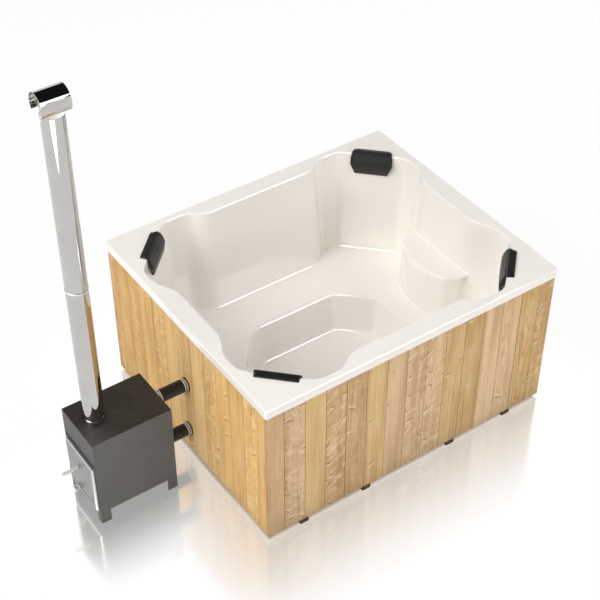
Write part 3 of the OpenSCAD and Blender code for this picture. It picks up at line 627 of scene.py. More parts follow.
def distance(prims, X, Y):
    """Signed distance to an outline, positive inside."""
    best = np.full(X.shape, 1e9)
    out = np.zeros(X.shape)
    for p in prims:
        if p[0] == "line":
            a, b = p[1], p[2]
            L = np.linalg.norm(b - a)
            if L < 1e-9:
                continue
            t = (b - a) / L
            s = (X - a[0]) * t[0] + (Y - a[1]) * t[1]
            d = -(X - a[0]) * t[1] + (Y - a[1]) * t[0]
            ok = (s > -1e-6) & (s < L + 1e-6)
        else:
            _, c, r, sg, a0, th = p
            dx, dy = X - c[0], Y - c[1]
            rr = np.hypot(dx, dy)
            ang = (np.arctan2(dy, dx) - a0) * sg
            ang = np.mod(ang + 1e-5, 2 * math.pi) - 1e-5
            d = sg * (r - rr)
            ok = ang <= th + 1e-5
        take = ok & (np.abs(d) < best)
        best[take] = np.abs(d)[take]
        out[take] = d[take]
    return out


def runion(a, b, r):
    u, v = np.maximum(r - a, 0), np.maximum(r - b, 0)
    return np.maximum(r, np.minimum(a, b)) - np.hypot(u, v)


def rinter(a, b, r):
    u, v = np.maximum(r + a, 0), np.maximum(r + b, 0)
    return np.minimum(-r, np.maximum(a, b)) + np.hypot(u, v)


def cavity(D1, D2, D3, Z):
    """Negative in the air, positive in the moulding."""
    wall = -(D1 - (RIM - Z) * TA) * CA
    air = rinter(wall, SEAT - Z, R_COVE)
    block = rinter(-(D3 + (STEP - Z) * TB) * CB, Z - STEP, R_TOP)
    # the fillet beside the step is tight along its top and its foot, and wide down the two upright corners
    k = np.clip((STEP - .012 - Z) / .07, 0, 1) * np.clip((Z - SEAT - .012) / .07, 0, 1)
    air = rinter(air, -block, R_SCOVE + .036 * k * k * (3 - 2 * k))
    well = rinter(-(D2 - (SEAT - Z) * TG) * CG, FLOOR - Z, R_FOOT)
    well = np.maximum(well, Z - SEAT - .05)
    air = runion(air, well, R_LIP)
    return runion(air, RIM - Z, R_RIM)


def height(D1, D2, D3):
    lo, hi = np.full(D1.shape, FLOOR - .02), np.full(D1.shape, RIM + .02)
    for _ in range(40):
        mid = (lo + hi) / 2
        air = cavity(D1, D2, D3, mid) < 0
        hi = np.where(air, mid, hi)
        lo = np.where(air, lo, mid)
    return (lo + hi) / 2


def row(prims, d, tol=.0004, step=.10, arc_min=3):
    """The outline moved inwards by d, as points."""
    pts = []
    for p in prims:
        if p[0] == "arc":
            _, c, r, s, a0, th = p
            rr = max(r - s * d, 1e-4)
            k = max(arc_min, int(math.ceil(th / (2 * math.acos(max(.2, 1 - tol / max(rr, .01)))))))
            for j in range(k + 1):
                a = a0 + s * th * j / k
                pts.append((c[0] + rr * math.cos(a), c[1] + rr * math.sin(a)))
        else:
            a, b = p[1], p[2]
            L = np.linalg.norm(b - a)
            if L < 1e-6:
                continue
            t = (b - a) / L
            nrm = np.array([-t[1], t[0]]) * d
            k = max(1, int(round(L / step)))
            for j in range(1, k):
                q = a + (b - a) * j / k + nrm
                pts.append((q[0], q[1]))
    out = []
    for q in pts:
        if not out or math.hypot(q[0] - out[-1][0], q[1] - out[-1][1]) > 2e-5:
            out.append(q)
    if math.hypot(out[0][0] - out[-1][0], out[0][1] - out[-1][1]) <= 2e-5:
        out.pop()
    return out


def fillet_rows(centre, r, a0, a1, k):
    return [centre + r * math.sin(a0 + (a1 - a0) * i / k) for i in range(k + 1)]


def build_shell():
    verts, edges = [], []

    def loop(pts, keep=None):
        base = len(verts)
        verts.extend(Vector(p) for p in pts)
        n = len(pts)
        ok = None if keep is None else keep(np.array(pts))
        for i in range(n):
            j = (i + 1) % n
            if ok is None or (ok[i] and ok[j]):
                edges.append((base + i, base + j))
        return list(range(base, base + n))

    alpha, gamma = math.atan(TA), math.atan(TG)
    outer = loop(row(PO, R_OUT, .0003, .12, 6))
    # rows that follow the basin wall: rim fillet, wall, cove
    rows = [-.020]
    rows += fillet_rows(R_RIM * TA - R_RIM / CA, R_RIM, -0.05, math.pi / 2 - alpha - .06, 9)
    rows += [(RIM - z) * TA for z in np.linspace(RIM - .009, SEAT + R_COVE + .003, 13)]
    c = (RIM - SEAT - R_COVE) * TA + R_COVE / CA
    rows += [c - R_COVE * math.cos(t) for t in np.linspace(.0, math.pi / 2, 11)]
    rows += [c + .006]
    for d in rows:
        loop(row(PB, d))
    # rows that follow the footwell
    rows = [-.022]
    cl = -R_LIP * math.tan((math.pi / 2 - gamma) / 2) * 1.0
    rows += [cl * 1.0 + (0 - cl) * 0 + x for x in np.linspace(0, -cl + R_LIP * math.sin(math.pi / 2 - gamma) + cl, 10)]
    rows += list(np.linspace(R_LIP * .55, .070 - R_FOOT * .25, 9))
    cf = (SEAT - FLOOR - R_FOOT) * TG + R_FOOT / CG
    rows += [cf - R_FOOT * math.cos(t) for t in np.linspace(gamma * .5, math.pi / 2, 9)]
    rows += [cf + .006]
    for d in sorted(set(round(x, 6) for x in rows)):
        loop(row(PF, d))
    # rows that follow the step, only where it stands in the basin
    inside = lambda P: distance(PB, P[:, 0], P[:, 1]) > .004
    rows = [-.034, -.024, -.0205, -.0188, -.0172, -.0158, -.0145, -.0133, -.0122, -.0112, -.0103, -.0096, -.0085, -.006, -.004, -.002, 0.0]
    rows += [R_TOP * (1 - math.cos(t)) for t in np.linspace(.12, math.pi / 2, 9)] + [R_TOP + .004]
    for d in sorted(set(round(x, 6) for x in rows)):
        loop(row(PS, d, .0004, .05), inside)
    # cove between the step's top and the wall, and the two corners beside it
    near = lambda P: (P[:, 0] > .60) & (np.abs(P[:, 1]) < .34)
    c3 = (RIM - STEP - R_SCOVE) * TA + R_SCOVE / CA
    for d in [c3 - R_SCOVE * math.cos(t) for t in np.linspace(0, math.pi / 2, 9)]:
        loop(row(PB, d, .0004, .04), near)
    # contours of the rounded upright corners beside the step
    away, along = np.array([-.50, .866]), np.array([.866, .50])
    levels = [SEAT + q for q in (.0012, .003, .0055, .009, .014, .022, .035, .055, .080, .110, .140, .170, .200, .228)]
    levels += [STEP - q for q in (.080, .062, .047, .035, .025, .017, .011, .007, .004, .0015)]
    q = np.linspace(-.080, .100, 46)
    for z in levels:
        lo, hi = np.full(q.shape, -.055), np.full(q.shape, .120)

        def at(t, sy=1):
            X = .850 + q * along[0] + t * away[0]
            Y = .268 + q * along[1] + t * away[1]
            return X, Y, cavity(distance(PB, X, Y), distance(PF, X, Y), distance(PS, X, Y), np.full(q.shape, z))

        ok = (at(lo)[2] > 0) & (at(hi)[2] < 0)
        for _ in range(34):
            mid = (lo + hi) / 2
            air = at(mid)[2] < 0
            hi, lo = np.where(air, mid, hi), np.where(air, lo, mid)
        X, Y, _ = at((lo + hi) / 2)
        for sy in (1, -1):
            base, last = len(verts), None
            for i in range(len(q)):
                if not ok[i]:
                    last = None
                    continue
                verts.append(Vector((float(X[i]), float(sy * Y[i]))))
                if last is not None:
                    edges.append((last, len(verts) - 1))
                last = len(verts) - 1
    # openings for the two pipes and the drain
    t = np.linspace(0, 2 * math.pi, 49)[:-1]
    hole_up = loop([(WALL_X + (RIM - (HOSE_UP + PIPE_R * math.sin(a))) * TA, HOSE_Y + PIPE_R * math.cos(a)) for a in t])
    hole_lo = loop([(-.500 + (SEAT - (HOSE_LO + PIPE_R * math.sin(a))) * TG, HOSE_Y + PIPE_R * math.cos(a)) for a in t])
    hole_dr = loop([(DRAIN[0] + .025 * math.cos(a), DRAIN[1] + .025 * math.sin(a)) for a in t])
    V, E, F, ov, oe, of = geometry.delaunay_2d_cdt(verts, edges, [], 0, 1e-6, True)
    P = np.array([v[:2] for v in V], float)
    where = {}
    for new, olds in enumerate(ov):
        for old in olds:
            where[old] = new
    T = np.array([f for f in F if len(f) == 3], int)
    # leave out the triangles in the openings
    C = P[T].mean(1)

    def inside_poly(pts, Q):
        res = np.zeros(len(Q), bool)
        for i in range(len(pts)):
            (x1, y1), (x2, y2) = pts[i], pts[(i + 1) % len(pts)]
            hit = ((y1 > Q[:, 1]) != (y2 > Q[:, 1])) & (Q[:, 0] < (x2 - x1) * (Q[:, 1] - y1) / (y2 - y1 + 1e-30) + x1)
            res ^= hit
        return res

    drop = np.zeros(len(T), bool)
    for h in (hole_up, hole_lo, hole_dr):
        drop |= inside_poly([P[where[i]] for i in h], C)
    a, b, c_ = P[T[:, 0]], P[T[:, 1]], P[T[:, 2]]
    area = (b[:, 0] - a[:, 0]) * (c_[:, 1] - a[:, 1]) - (b[:, 1] - a[:, 1]) * (c_[:, 0] - a[:, 0])
    T[area < 0] = T[area < 0][:, ::-1]
    T = T[~drop]
    used = np.unique(T)
    remap = -np.ones(len(P), int)
    remap[used] = np.arange(len(used))
    T, P = remap[T], P[used]
    D1, D2, D3 = (distance(q, P[:, 0], P[:, 1]) for q in (PB, PF, PS))
    Z = height(D1, D2, D3)
    Z[D1 < -.030] = RIM
    # analytic normals
    h = 1.5e-4

    def f(x, y, z):
        return cavity(distance(PB, x, y), distance(PF, x, y), distance(PS, x, y), z)

    X, Y = P[:, 0], P[:, 1]
    G = np.stack([f(X + h, Y, Z) - f(X - h, Y, Z), f(X, Y + h, Z) - f(X, Y - h, Z), f(X, Y, Z + h) - f(X, Y, Z - h)], 1)
    N = -G / np.maximum(np.linalg.norm(G, axis=1), 1e-12)[:, None]
    N[D1 < -.030] = (0, 0, 1)
    bad = ~np.isfinite(N).all(1) | (np.linalg.norm(N, axis=1) < .5)
    N[bad] = (0, 0, 1)
    top = np.column_stack([P, Z])
    low = top - N * SHELL
    nt = len(top)
    # side strips: every open edge but the outer one joins top to underside
    count = {}
    for t3 in T:
        for i in range(3):
            e = (int(t3[i]), int(t3[(i + 1) % 3]))
            count[e] = count.get(e, 0) + 1
    border = [e for e in count if (e[1], e[0]) not in count]
    outer_new = [remap[where[i]] for i in outer]
    outer_set = set(outer_new)
    V3 = [tuple(v) for v in top] + [tuple(v) for v in low]
    faces = [tuple(map(int, t3)) for t3 in T] + [tuple(int(i) + nt for i in t3[::-1]) for t3 in T]
    n_custom = len(faces)
    for a_, b_ in border:
        if not (a_ in outer_set and b_ in outer_set):
            faces.append((b_, a_, a_ + nt, b_ + nt))
    # the outer edge and the turned-down lip, as rings that start and end on the flat
    prof = [(R_OUT * (1 - math.sin(t_)), RIM - R_OUT + R_OUT * math.cos(t_)) for t_ in np.linspace(0, math.pi / 2, 7)][1:]
    zb = RIM - LIP_H
    r2 = .0026
    prof += [(0, RIM - .020), (0, RIM - .040)]
    prof += [(r2 * (1 - math.cos(t_)), zb + r2 - r2 * math.sin(t_)) for t_ in np.linspace(0, math.pi / 2, 5)]
    prof += [(LIP_T - r2 + r2 * math.sin(t_), zb + r2 - r2 * math.cos(t_)) for t_ in np.linspace(0, math.pi / 2, 5)]
    prof += [(LIP_T, RIM - SHELL - .004)]
    ring_dir = []
    for i in outer_new:
        x, y = top[i][:2]
        cx, cy = np.sign(x) * (HX - .014), np.sign(y) * (HY - .014)
        dx, dy = max(0, abs(x) - abs(cx)), max(0, abs(y) - abs(cy))
        L = math.hypot(dx, dy)
        ring_dir.append((np.sign(x) * dx / L, np.sign(y) * dy / L) if L > 1e-9 else (0, 0))
    rings = [list(outer_new)]
    for d, z in prof:
        base = len(V3)
        for i, (ux, uy) in zip(outer_new, ring_dir):
            x, y = top[i][:2]
            V3.append((x + ux * (R_OUT - d), y + uy * (R_OUT - d), z))
        rings.append(list(range(base, base + len(outer_new))))
    rings.append([i + nt for i in outer_new])
    n = len(outer_new)
    for r1, r2_ in zip(rings, rings[1:]):
        for k in range(n):
            l = (k + 1) % n
            faces.append((int(r1[l]), int(r1[k]), int(r2_[k]), int(r2_[l])))
    me = bpy.data.meshes.new("tub_shell")
    me.from_pydata([tuple(map(float, v)) for v in V3], [], faces)
    me.polygons.foreach_set("use_smooth", [True] * len(me.polygons))
    # loop normals: the analytic ones on the two skins, Blender's own elsewhere
    LN = np.zeros((len(me.loops), 3), np.float32)
    lv = np.zeros(len(me.loops), int)
    me.loops.foreach_get("vertex_index", lv)
    m1 = 3 * len(T)
    LN[:m1] = N[lv[:m1]]
    LN[m1:2 * m1] = -N[lv[m1:2 * m1] - nt]
    me.normals_split_custom_set([tuple(map(float, v)) for v in LN])
    me.validate(verbose=False)
    o = new_object("tub_shell", me, "acrylic", "tub", ("acrylic_shell",))
    print("shell:", len(V3), "points", len(faces), "faces", "bad normals", int(bad.sum()))
    return o


shell = build_shell()

# ===========================================================================
# Timber
# ===========================================================================
rng = np.random.default_rng(41)
for node_name in ("cladding_front", "cladding_back", "cladding_stove_side", "cladding_hose_board", "cladding_far_side"):
    if node_name in NODES:
        traits = {"cladding_front": (FRONT, 0, -.952, .136), "cladding_stove_side": (SIDE, 1, -.816, .136),
                  "cladding_hose_board": (SIDE, 1, -.816, .136)}.get(node_name)
        bevelled(node_name, width=.0013, segments=2, grain=rng, traits=traits)
for node_name in ("corner_posts", "top_battens", "mid_rails", "bottom_rails", "bearers", "bearer_spacers", "floor_deck",
                  "footwell_battens", "seat_props"):
    bevelled(node_name, width=.0016, segments=2, grain=rng)


# ===========================================================================
# Headrests
# ===========================================================================
def headrest(name, mx, my):
    """A moulded pad that hooks over the rim: crowned front, rounded ends, narrower at the bottom."""
    E, Rz = EDGE_U, RIM
    ctrl = [(E - .0145, Rz - .133), (E - .0285, Rz - .1335), (E - .0360, Rz - .098), (E - .0385, Rz - .060), (E - .0300, Rz - .030),
            (E - .0140, Rz + .003), (E + .0040, Rz + .0160), (E + .0330, Rz + .0128), (E + .0435, Rz + .0095), (E + .0440, Rz + .0008),
            (E - .0030, Rz + .0008)]
    rad = [.004, .007, .030, .030, .020, .015, .012, .010, .003, .002, .003]
    pts = []
    n = len(ctrl)
    C = [np.array(c) for c in ctrl]
    for i in range(n):
        a, b = C[i] - C[i - 1], C[(i + 1) % n] - C[i]
        la, lb = np.linalg.norm(a), np.linalg.norm(b)
        a, b = a / la, b / lb
        th = math.acos(max(-1, min(1, float(a @ b))))
        s = 1 if a[0] * b[1] - a[1] * b[0] > 0 else -1
        r = min(rad[i], .48 * min(la, lb) / max(math.tan(th / 2), 1e-6))
        p0 = C[i] - a * r * math.tan(th / 2)
        c = p0 + s * r * np.array([-a[1], a[0]])
        a0 = math.atan2(p0[1] - c[1], p0[0] - c[0])
        for j in range(6):
            t = a0 + s * th * j / 5
            pts.append(c + r * np.array([math.cos(t), math.sin(t)]))
    # even spacing round the section
    P = np.array(pts + [pts[0]])
    L = np.concatenate([[0], np.cumsum(np.linalg.norm(np.diff(P, axis=0), axis=1))])
    m = 120
    t = np.linspace(0, L[-1], m + 1)[:-1]
    S = np.column_stack([np.interp(t, L, P[:, 0]), np.interp(t, L, P[:, 1])])
    T = np.roll(S, -1, 0) - np.roll(S, 1, 0)
    T /= np.linalg.norm(T, axis=1)[:, None]
    nin = np.column_stack([T[:, 1], -T[:, 0]])
    area = np.sum(S[:, 0] * np.roll(S[:, 1], -1) - np.roll(S[:, 0], -1) * S[:, 1])
    if area > 0:
        nin = -nin
    half, re = .132, .0045
    st = []
    for k in range(9):
        a = math.pi / 2 * k / 8
        st.append((half - re + re * math.sin(math.pi / 2 - a), re * (1 - math.cos(math.pi / 2 - a))))
    st = [(x, d) for x, d in st]  # from the end face inwards
    stations = [(-x, d) for x, d in st] + [(x, 0.0) for x in np.linspace(-half + re, half - re, 30)[1:-1]] + [(x, d) for x, d in st[::-1]]
    zk = Rz + np.array([-.1335, -.100, -.060, -.020, .003, .016])
    wk = np.array([.79, .87, 1.0, 1.0, .965, .93])
    rings = []
    for x, d in stations:
        Q = S + nin * d
        u_, z_ = Q[:, 0] - E, Q[:, 1] - Rz
        w = np.interp(Q[:, 1], zk, wk)
        # the part on the rim: its ends lean in towards the top and the back
        top = np.interp(u_, [.004, .0435], [.93, .76])
        low = np.interp(u_, [-.003, .044], [.97, .94])
        roof = np.interp(u_, [.004, .033, .0435], [.016, .0128, .0095])
        tz = np.clip((z_ - .0008) / (roof - .0008), 0, 1)
        over = np.interp(u_, [-.004, .006], [0, 1]) * np.interp(z_, [-.004, .0], [0, 1])
        w = w * (1 - over) + (low + (top - low) * tz) * over
        s = x * w
        q = s / half
        crown = .0030 * (1 - np.clip(np.abs(q), 0, 1) ** 2.4)
        front = np.interp(u_, [-.040, -.020], [1, 0]) * np.interp(z_, [-.118, -.09], [0, 1])
        crest = np.interp(z_, [.006, .014], [0, 1]) * np.interp(u_, [.004, .03], [1, 0])
        U = Q[:, 0] - crown * front
        W = Q[:, 1] + .0020 * crest * (1 - np.clip(np.abs(q), 0, 1) ** 3)
        # local axes: u out along the diagonal, s along the edge
        c = math.cos(math.pi / 4)
        sy = s - .105
        X, Y = c * U - c * sy, c * U + c * sy
        rings.append(np.column_stack([-X if mx else X, -Y if my else Y, W]))
    me = grid_mesh(name, rings, True, False, True)
    bm = bmesh.new()
    bm.from_mesh(me)
    bmesh.ops.triangulate(bm, faces=[f for f in bm.faces if len(f.verts) > 4], quad_method="BEAUTY", ngon_method="BEAUTY")
    bm.to_mesh(me)
    bm.free()
    o = new_object(name + "_pad", me, "pad_black", name, (name,))
    settle(o, 50, False)
    return o


for nm, mx, my in (("headrest_front_stove", 1, 1), ("headrest_front_far", 0, 1), ("headrest_back_stove", 1, 0), ("headrest_back_far", 0, 0)):
    headrest(nm, mx, my)

# ===========================================================================
# Stove, fittings, pipes
# ===========================================================================
for node_name, width, segs in (
        ("stove_casing", .0011, 3), ("firebox", .001, 2), ("grate_ledges", .0008, 2), ("fire_grate", .0012, 2),
        ("door_frame", .0009, 2), ("hinge_brackets", .0007, 2), ("hinge_pins", .0006, 2), ("stove_door", .0012, 3),
        ("door_seal", .0005, 2), ("air_slide", .0006, 2), ("air_slide_guides", .0004, 2), ("latch_bar", .0008, 2),
        ("handle_nut", .0005, 2), ("drain_flange", .0008, 2), ("drain_plug", .0012, 3), ("drain_nut", .001, 2),
        ("wall_nuts", .0012, 2), ("hose_clamps", .0004, 2), ("clamp_screws", .0005, 2), ("hood_brackets", .0003, 2),
        ("hood_rivets", .0004, 2), ("drain_pipe", .0006, 2), ("upper_wall_pipe", .0006, 2), ("lower_wall_pipe", .0006, 2),
        ("stove_ports", .0006, 2), ("upper_grille", .0010, 3), ("lower_grille", .0010, 3)):
    bevelled(node_name, width=width, segments=segs)


def clamp_material():
    """The band of a worm-drive clamp: bright rolled edges and a row of dark slots for the screw."""
    m = Mat("clamp_steel")
    co = m.coords()
    p = m.node("ShaderNodeSeparateXYZ", {"Vector": co})
    marks = m.noise(m.mapping(co, (160, 160, 160)), 1.0, 3, 0.6)
    zc = m.math("MULTIPLY_ADD", m.math("GREATER_THAN", p.outputs[2], .386), HOSE_UP - HOSE_LO, HOSE_LO)
    turn = m.math("ARCTAN2", m.math("SUBTRACT", p.outputs[2], zc), m.math("SUBTRACT", p.outputs[1], HOSE_Y))
    cell = m.math("FRACT", m.math("MULTIPLY_ADD", turn, 9.0, 60.0))
    slot = m.math("MULTIPLY", m.remap(cell, 0.16, 0.24, 0.0, 1.0), m.remap(cell, 0.90, 0.98, 1.0, 0.0))
    side = m.math("MINIMUM", m.math("ABSOLUTE", m.math("SUBTRACT", p.outputs[0], -1.1735)), m.math("ABSOLUTE", m.math("SUBTRACT", p.outputs[0], -1.0095)))
    slot = m.math("MULTIPLY", slot, m.remap(side, 0.0056, 0.0062, 1.0, 0.0))
    col = m.mix(m.math("MULTIPLY", slot, 0.95), (0.84, 0.825, 0.78), (0.016, 0.015, 0.014))
    return m.out(Base_Color=col, Metallic=m.remap(slot, 0.0, 1.0, 0.42, 0.0), Roughness=m.remap(marks, 0.2, 0.8, 0.28, 0.40),
                 Normal=m.bump(m.math("SUBTRACT", marks, m.math("MULTIPLY", slot, 3.0)), 0.15, 0.0003))


bands = bpy.data.objects["hose_clamps_finished"]
bands.data.materials.clear()
bands.data.materials.append(clamp_material())


def tube(name, node, prof, centre, axis="Z", n=96, mat=None, extra=()):
    me = lathe(name, prof, centre, n, axis, True)
    o = new_object(name, me, mat or SLOT[node], NODES[node]["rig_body"], (node, *extra))
    return settle(o, 35, False)


def ring_profile(r0, r1, z0, z1, e=.0008, steps=1):
    """Closed section of a tube wall with small rounded edges."""
    out = []
    zs = np.linspace(z0 + e, z1 - e, steps + 1)
    if steps > 1:
        zs = np.concatenate((zs[:1], [zs[0] + .0012, zs[0] + .004], zs[1:-1], [zs[-1] - .004, zs[-1] - .0012], zs[-1:]))
    out += [(r1, z) for z in zs]
    out += [(r1 - e * .3, z1 - e * .3), (r1 - e, z1), (r0 + e, z1), (r0 + e * .3, z1 - e * .3)]
    out += [(r0, z) for z in zs[::-1]]
    out += [(r0 + e * .3, z0 + e * .3), (r0 + e, z0), (r1 - e, z0), (r1 - e * .3, z0 + e * .3)]
    return out


# flue pipes
fz = .600
bead = [(FLUE_R + .0032 * math.cos(t) - .0000, FLUE_JOINT - .006 + .0044 * math.sin(t)) for t in np.linspace(-math.pi / 2, math.pi / 2, 11)]
prof = [(FLUE_R, fz + .001)] + [(FLUE_R, z) for z in np.linspace(fz + .05, FLUE_JOINT - .016, 8)] + [(FLUE_R + .0001, FLUE_JOINT - .0108)] + bead + \
    [(FLUE_R - .002, FLUE_JOINT), (FLUE_R - .002, FLUE_JOINT + .0595), (FLUE_R - .0026, FLUE_JOINT + .060), (FLUE_R - .004, FLUE_JOINT + .060),
     (FLUE_R - .004, FLUE_JOINT - .012), (FLUE_R - .002, FLUE_JOINT - .02), (FLUE_R - .002, fz), (FLUE_R - .0006, fz)]
tube("lower_flue_pipe_turned", "lower_flue_pipe", prof, (*FLUE, 0), n=128)
tube("upper_flue_pipe_turned", "upper_flue_pipe", ring_profile(FLUE_R - .002, FLUE_R, FLUE_JOINT, FLUE_TOP, .0005, 10), (*FLUE, 0), n=128)
tube("flue_collar_turned", "flue_collar", [(r, z) for r, z in ring_profile(FLUE_R - .004, FLUE_R + .004, .560, .662, .0010, 4)], (*FLUE, 0), n=128)


def hood():
    """The rolled cowl: an open arc of thin sheet with hemmed ends."""
    n, t = 90, .0016
    a0, a1 = math.radians(-38), math.radians(218)
    rings = []
    for i in range(n + 1):
        a = a0 + (a1 - a0) * i / n
        ring = []
        for r, xs in ((HOOD_R, 1), (HOOD_R - t, -1)):
            seq = np.linspace(-HOOD_LEN / 2, HOOD_LEN / 2, 9)
            for x in (seq if xs > 0 else seq[::-1]):
                e = abs(x) / (HOOD_LEN / 2)
                rr = r + (.0006 if e > .96 and r == HOOD_R else 0)
                ring.append((FLUE[0] + x, FLUE[1] + rr * math.cos(a), HOOD_Z + rr * math.sin(a)))
        rings.append(ring)
    me = grid_mesh("flue_hood_rolled", rings, True, False, True)
    o = new_object("flue_hood_rolled", me, "mirror_steel", "tub", ("flue_hood",))
    return settle(o, 35, True)


hood()


def hose(name, node, z):
    """Reinforced rubber hose with shallow ribs and rolled ends."""
    x0, x1 = -1.1865, -.9985
    outer = []
    xs = np.linspace(x0 + .002, x1 - .002, 140)
    for x in xs:
        edge = min(1.0, (x - x0 - .024) / .006 if x < (x0 + x1) / 2 else (x1 - .024 - x) / .006)
        ribs = .0011 * max(0.0, edge) * (0.5 - 0.5 * math.cos(2 * math.pi * (x - x0) / .0105))
        outer.append((.0400 - ribs, x))
    prof = [(.0392, x0)] + outer + [(.0392, x1), (.036, x1), (PIPE_R + .0001, x1 - .001), (PIPE_R + .0001, x0 + .001), (.036, x0)]
    me = lathe(name, prof, (0, HOSE_Y, z), 72, "X", True)
    o = new_object(name, me, "black_rubber", "tub", (node,))
    return settle(o, 40, False)


hose("upper_hose_ribbed", "upper_hose", HOSE_UP)
hose("lower_hose_ribbed", "lower_hose", HOSE_LO)


def wall_flange(z, k):
    r0, r1, x0, x1 = PIPE_R + .0002, .044, -.9975, -.9916
    prof = [(r1, x1), (r1, x0 + .002), (r1 - .0006, x0 + .0006), (r1 - .002, x0), (.0408, x0), (.0402, x0 + .0006), (r0, x0 + .0008), (r0, x1)]
    return lathe(f"wall_flange_{k}", prof, (0, HOSE_Y, z), 72, "X", True)


bm = bmesh.new()
for k, z in enumerate((HOSE_UP, HOSE_LO)):
    bm.from_mesh(wall_flange(z, k))
me = bpy.data.meshes.new("wall_flanges_moulded")
bm.to_mesh(me)
bm.free()
settle(new_object("wall_flanges_moulded", me, SLOT["wall_flanges"], "tub", ("wall_flanges",)), 35, False)

# handle: rod and ribbed grip
HY0, HZ0 = -.020, .335
prof = [(.0004, -1.7789), (.0085, -1.7789), (.009, -1.7784), (.009, -1.7135), (.0085, -1.7129), (.006, -1.7129), (.006, -1.6730),
        (.0055, -1.6725), (.0004, -1.6725)]
tube("handle_rod", "handle_shaft", prof, (0, HY0, HZ0), "X", 64)
g0, g1 = -1.8145, -1.7785
prof = [(.0004, g0), (.0095, g0), (.0106, g0 + .0006), (.011, g0 + .002)]
x = g0 + .0068
for i in range(4):
    a, b = g0 + .007 + i * .007, g0 + .010 + i * .007
    prof += [(.011, a - .0004), (.0104, a), (.0096, a + .0003), (.0094, a + .0008), (.0094, b - .0008), (.0096, b - .0003), (.0104, b), (.011, b + .0004)]
prof += [(.011, g1 - .001), (.0102, g1), (.0092, g1), (.0092, g1 - .004), (.0004, g1 - .004)]
tube("handle_grip_ribbed", "handle_grip", prof, (0, HY0, HZ0), "X", 64)


# ===========================================================================
# Stage, lights, camera
# ===========================================================================
def floor_material():
    m = Mat("studio_floor")
    t = m.t
    t.nodes.remove(m.p)
    out = [n for n in t.nodes if n.type == "OUTPUT_MATERIAL"][0]
    geo = m.node("ShaderNodeNewGeometry").outputs["Position"]
    s = m.node("ShaderNodeSeparateXYZ", {"Vector": geo})

    def off(cx, cy, hx, hy):
        dx = m.math("MAXIMUM", m.math("SUBTRACT", m.math("ABSOLUTE", m.math("SUBTRACT", s.outputs[0], cx)), hx), 0.0)
        dy = m.math("MAXIMUM", m.math("SUBTRACT", m.math("ABSOLUTE", m.math("SUBTRACT", s.outputs[1], cy)), hy), 0.0)
        return m.math("SQRT", m.math("ADD", m.math("MULTIPLY", dx, dx), m.math("MULTIPLY", dy, dy)))

    fx, fy = HX - .0085, HY - .0085
    d1 = m.remap(off(0, 0, fx, fy), 0.0, 0.66, 0.53, 0.0, True)
    d2 = m.remap(off((SX0 + SX1) / 2, (SY0 + SY1) / 2, .25, .175), 0.0, 0.52, 0.66, 0.0, True)
    under = m.math("LESS_THAN", off(0, 0, fx, fy), 0.0005)
    d1 = m.math("MULTIPLY", d1, m.math("SUBTRACT", 1.0, under))
    fac = m.math("MAXIMUM", d1, d2)
    # the strip that shows below the boards' lower edge: as warm as the reflection next to it, then shaded
    into = m.math("MINIMUM", m.math("DIVIDE", m.math("SUBTRACT", fx, m.math("ABSOLUTE", s.outputs[0])), 0.0196),
                  m.math("DIVIDE", m.math("SUBTRACT", fy, m.math("ABSOLUTE", s.outputs[1])), 0.0305))
    shade = m.mix(m.remap(into, 0.25, 1.05, 0.0, 1.0, True), (0.75, 0.67, 0.57), (0.36, 0.32, 0.28))
    tint = m.mix(under, (1.0, 1.0, 1.0), shade)
    glow = m.node("ShaderNodeEmission", {"Color": tint, "Strength": 0.89})
    diff = m.node("ShaderNodeBsdfDiffuse", {"Color": (0.11, 0.11, 0.11, 1)})
    base = m.node("ShaderNodeAddShader")
    t.links.new(glow.outputs[0], base.inputs[0])
    t.links.new(diff.outputs[0], base.inputs[1])
    gloss = m.node("ShaderNodeBsdfGlossy", {"Color": (1.0, 0.985, 0.935, 1), "Roughness": 0.12})
    mix = m.node("ShaderNodeMixShader", {"Fac": fac})
    t.links.new(base.outputs[0], mix.inputs[1])
    t.links.new(gloss.outputs[0], mix.inputs[2])
    t.links.new(mix.outputs[0], out.inputs["Surface"])
    return m.m


def stage():
    me = grid_mesh("studio_floor", [[(-60, -60, 0), (60, -60, 0)], [(-60, 60, 0), (60, 60, 0)]], False)
    floor = bpy.data.objects.new("studio_floor", me)
    me.materials.append(floor_material())
    scene.collection.objects.link(floor)
    if me.polygons[0].normal.z < 0:
        me.flip_normals()
    # a white dome that only the floor's reflections see
    n, k, R = 48, 12, 55.0
    rings = [[(R * math.cos(2 * math.pi * i / n) * math.cos(a), R * math.sin(2 * math.pi * i / n) * math.cos(a), -.5 + R * math.sin(a)) for i in range(n)]
             for a in np.linspace(0, math.pi / 2 - .02, k)]
    dm = grid_mesh("studio_dome", rings, True)
    dome = bpy.data.objects.new("studio_dome", dm)
    m = Mat("studio_dome")
    m.t.nodes.remove(m.p)
    o = [x for x in m.t.nodes if x.type == "OUTPUT_MATERIAL"][0]
    em = m.node("ShaderNodeEmission", {"Color": (1, 1, 1, 1), "Strength": 1.12})
    tr = m.node("ShaderNodeBsdfTransparent")
    add = m.node("ShaderNodeAddShader")
    m.t.links.new(em.outputs[0], add.inputs[0])
    m.t.links.new(tr.outputs[0], add.inputs[1])
    m.t.links.new(add.outputs[0], o.inputs["Surface"])
    dm.materials.append(m.m)
    scene.collection.objects.link(dome)
    dome.visible_camera = dome.visible_diffuse = dome.visible_transmission = dome.visible_shadow = False
    col = bpy.data.collections.new("floor_only")
    col.objects.link(floor)
    dome.light_linking.receiver_collection = col


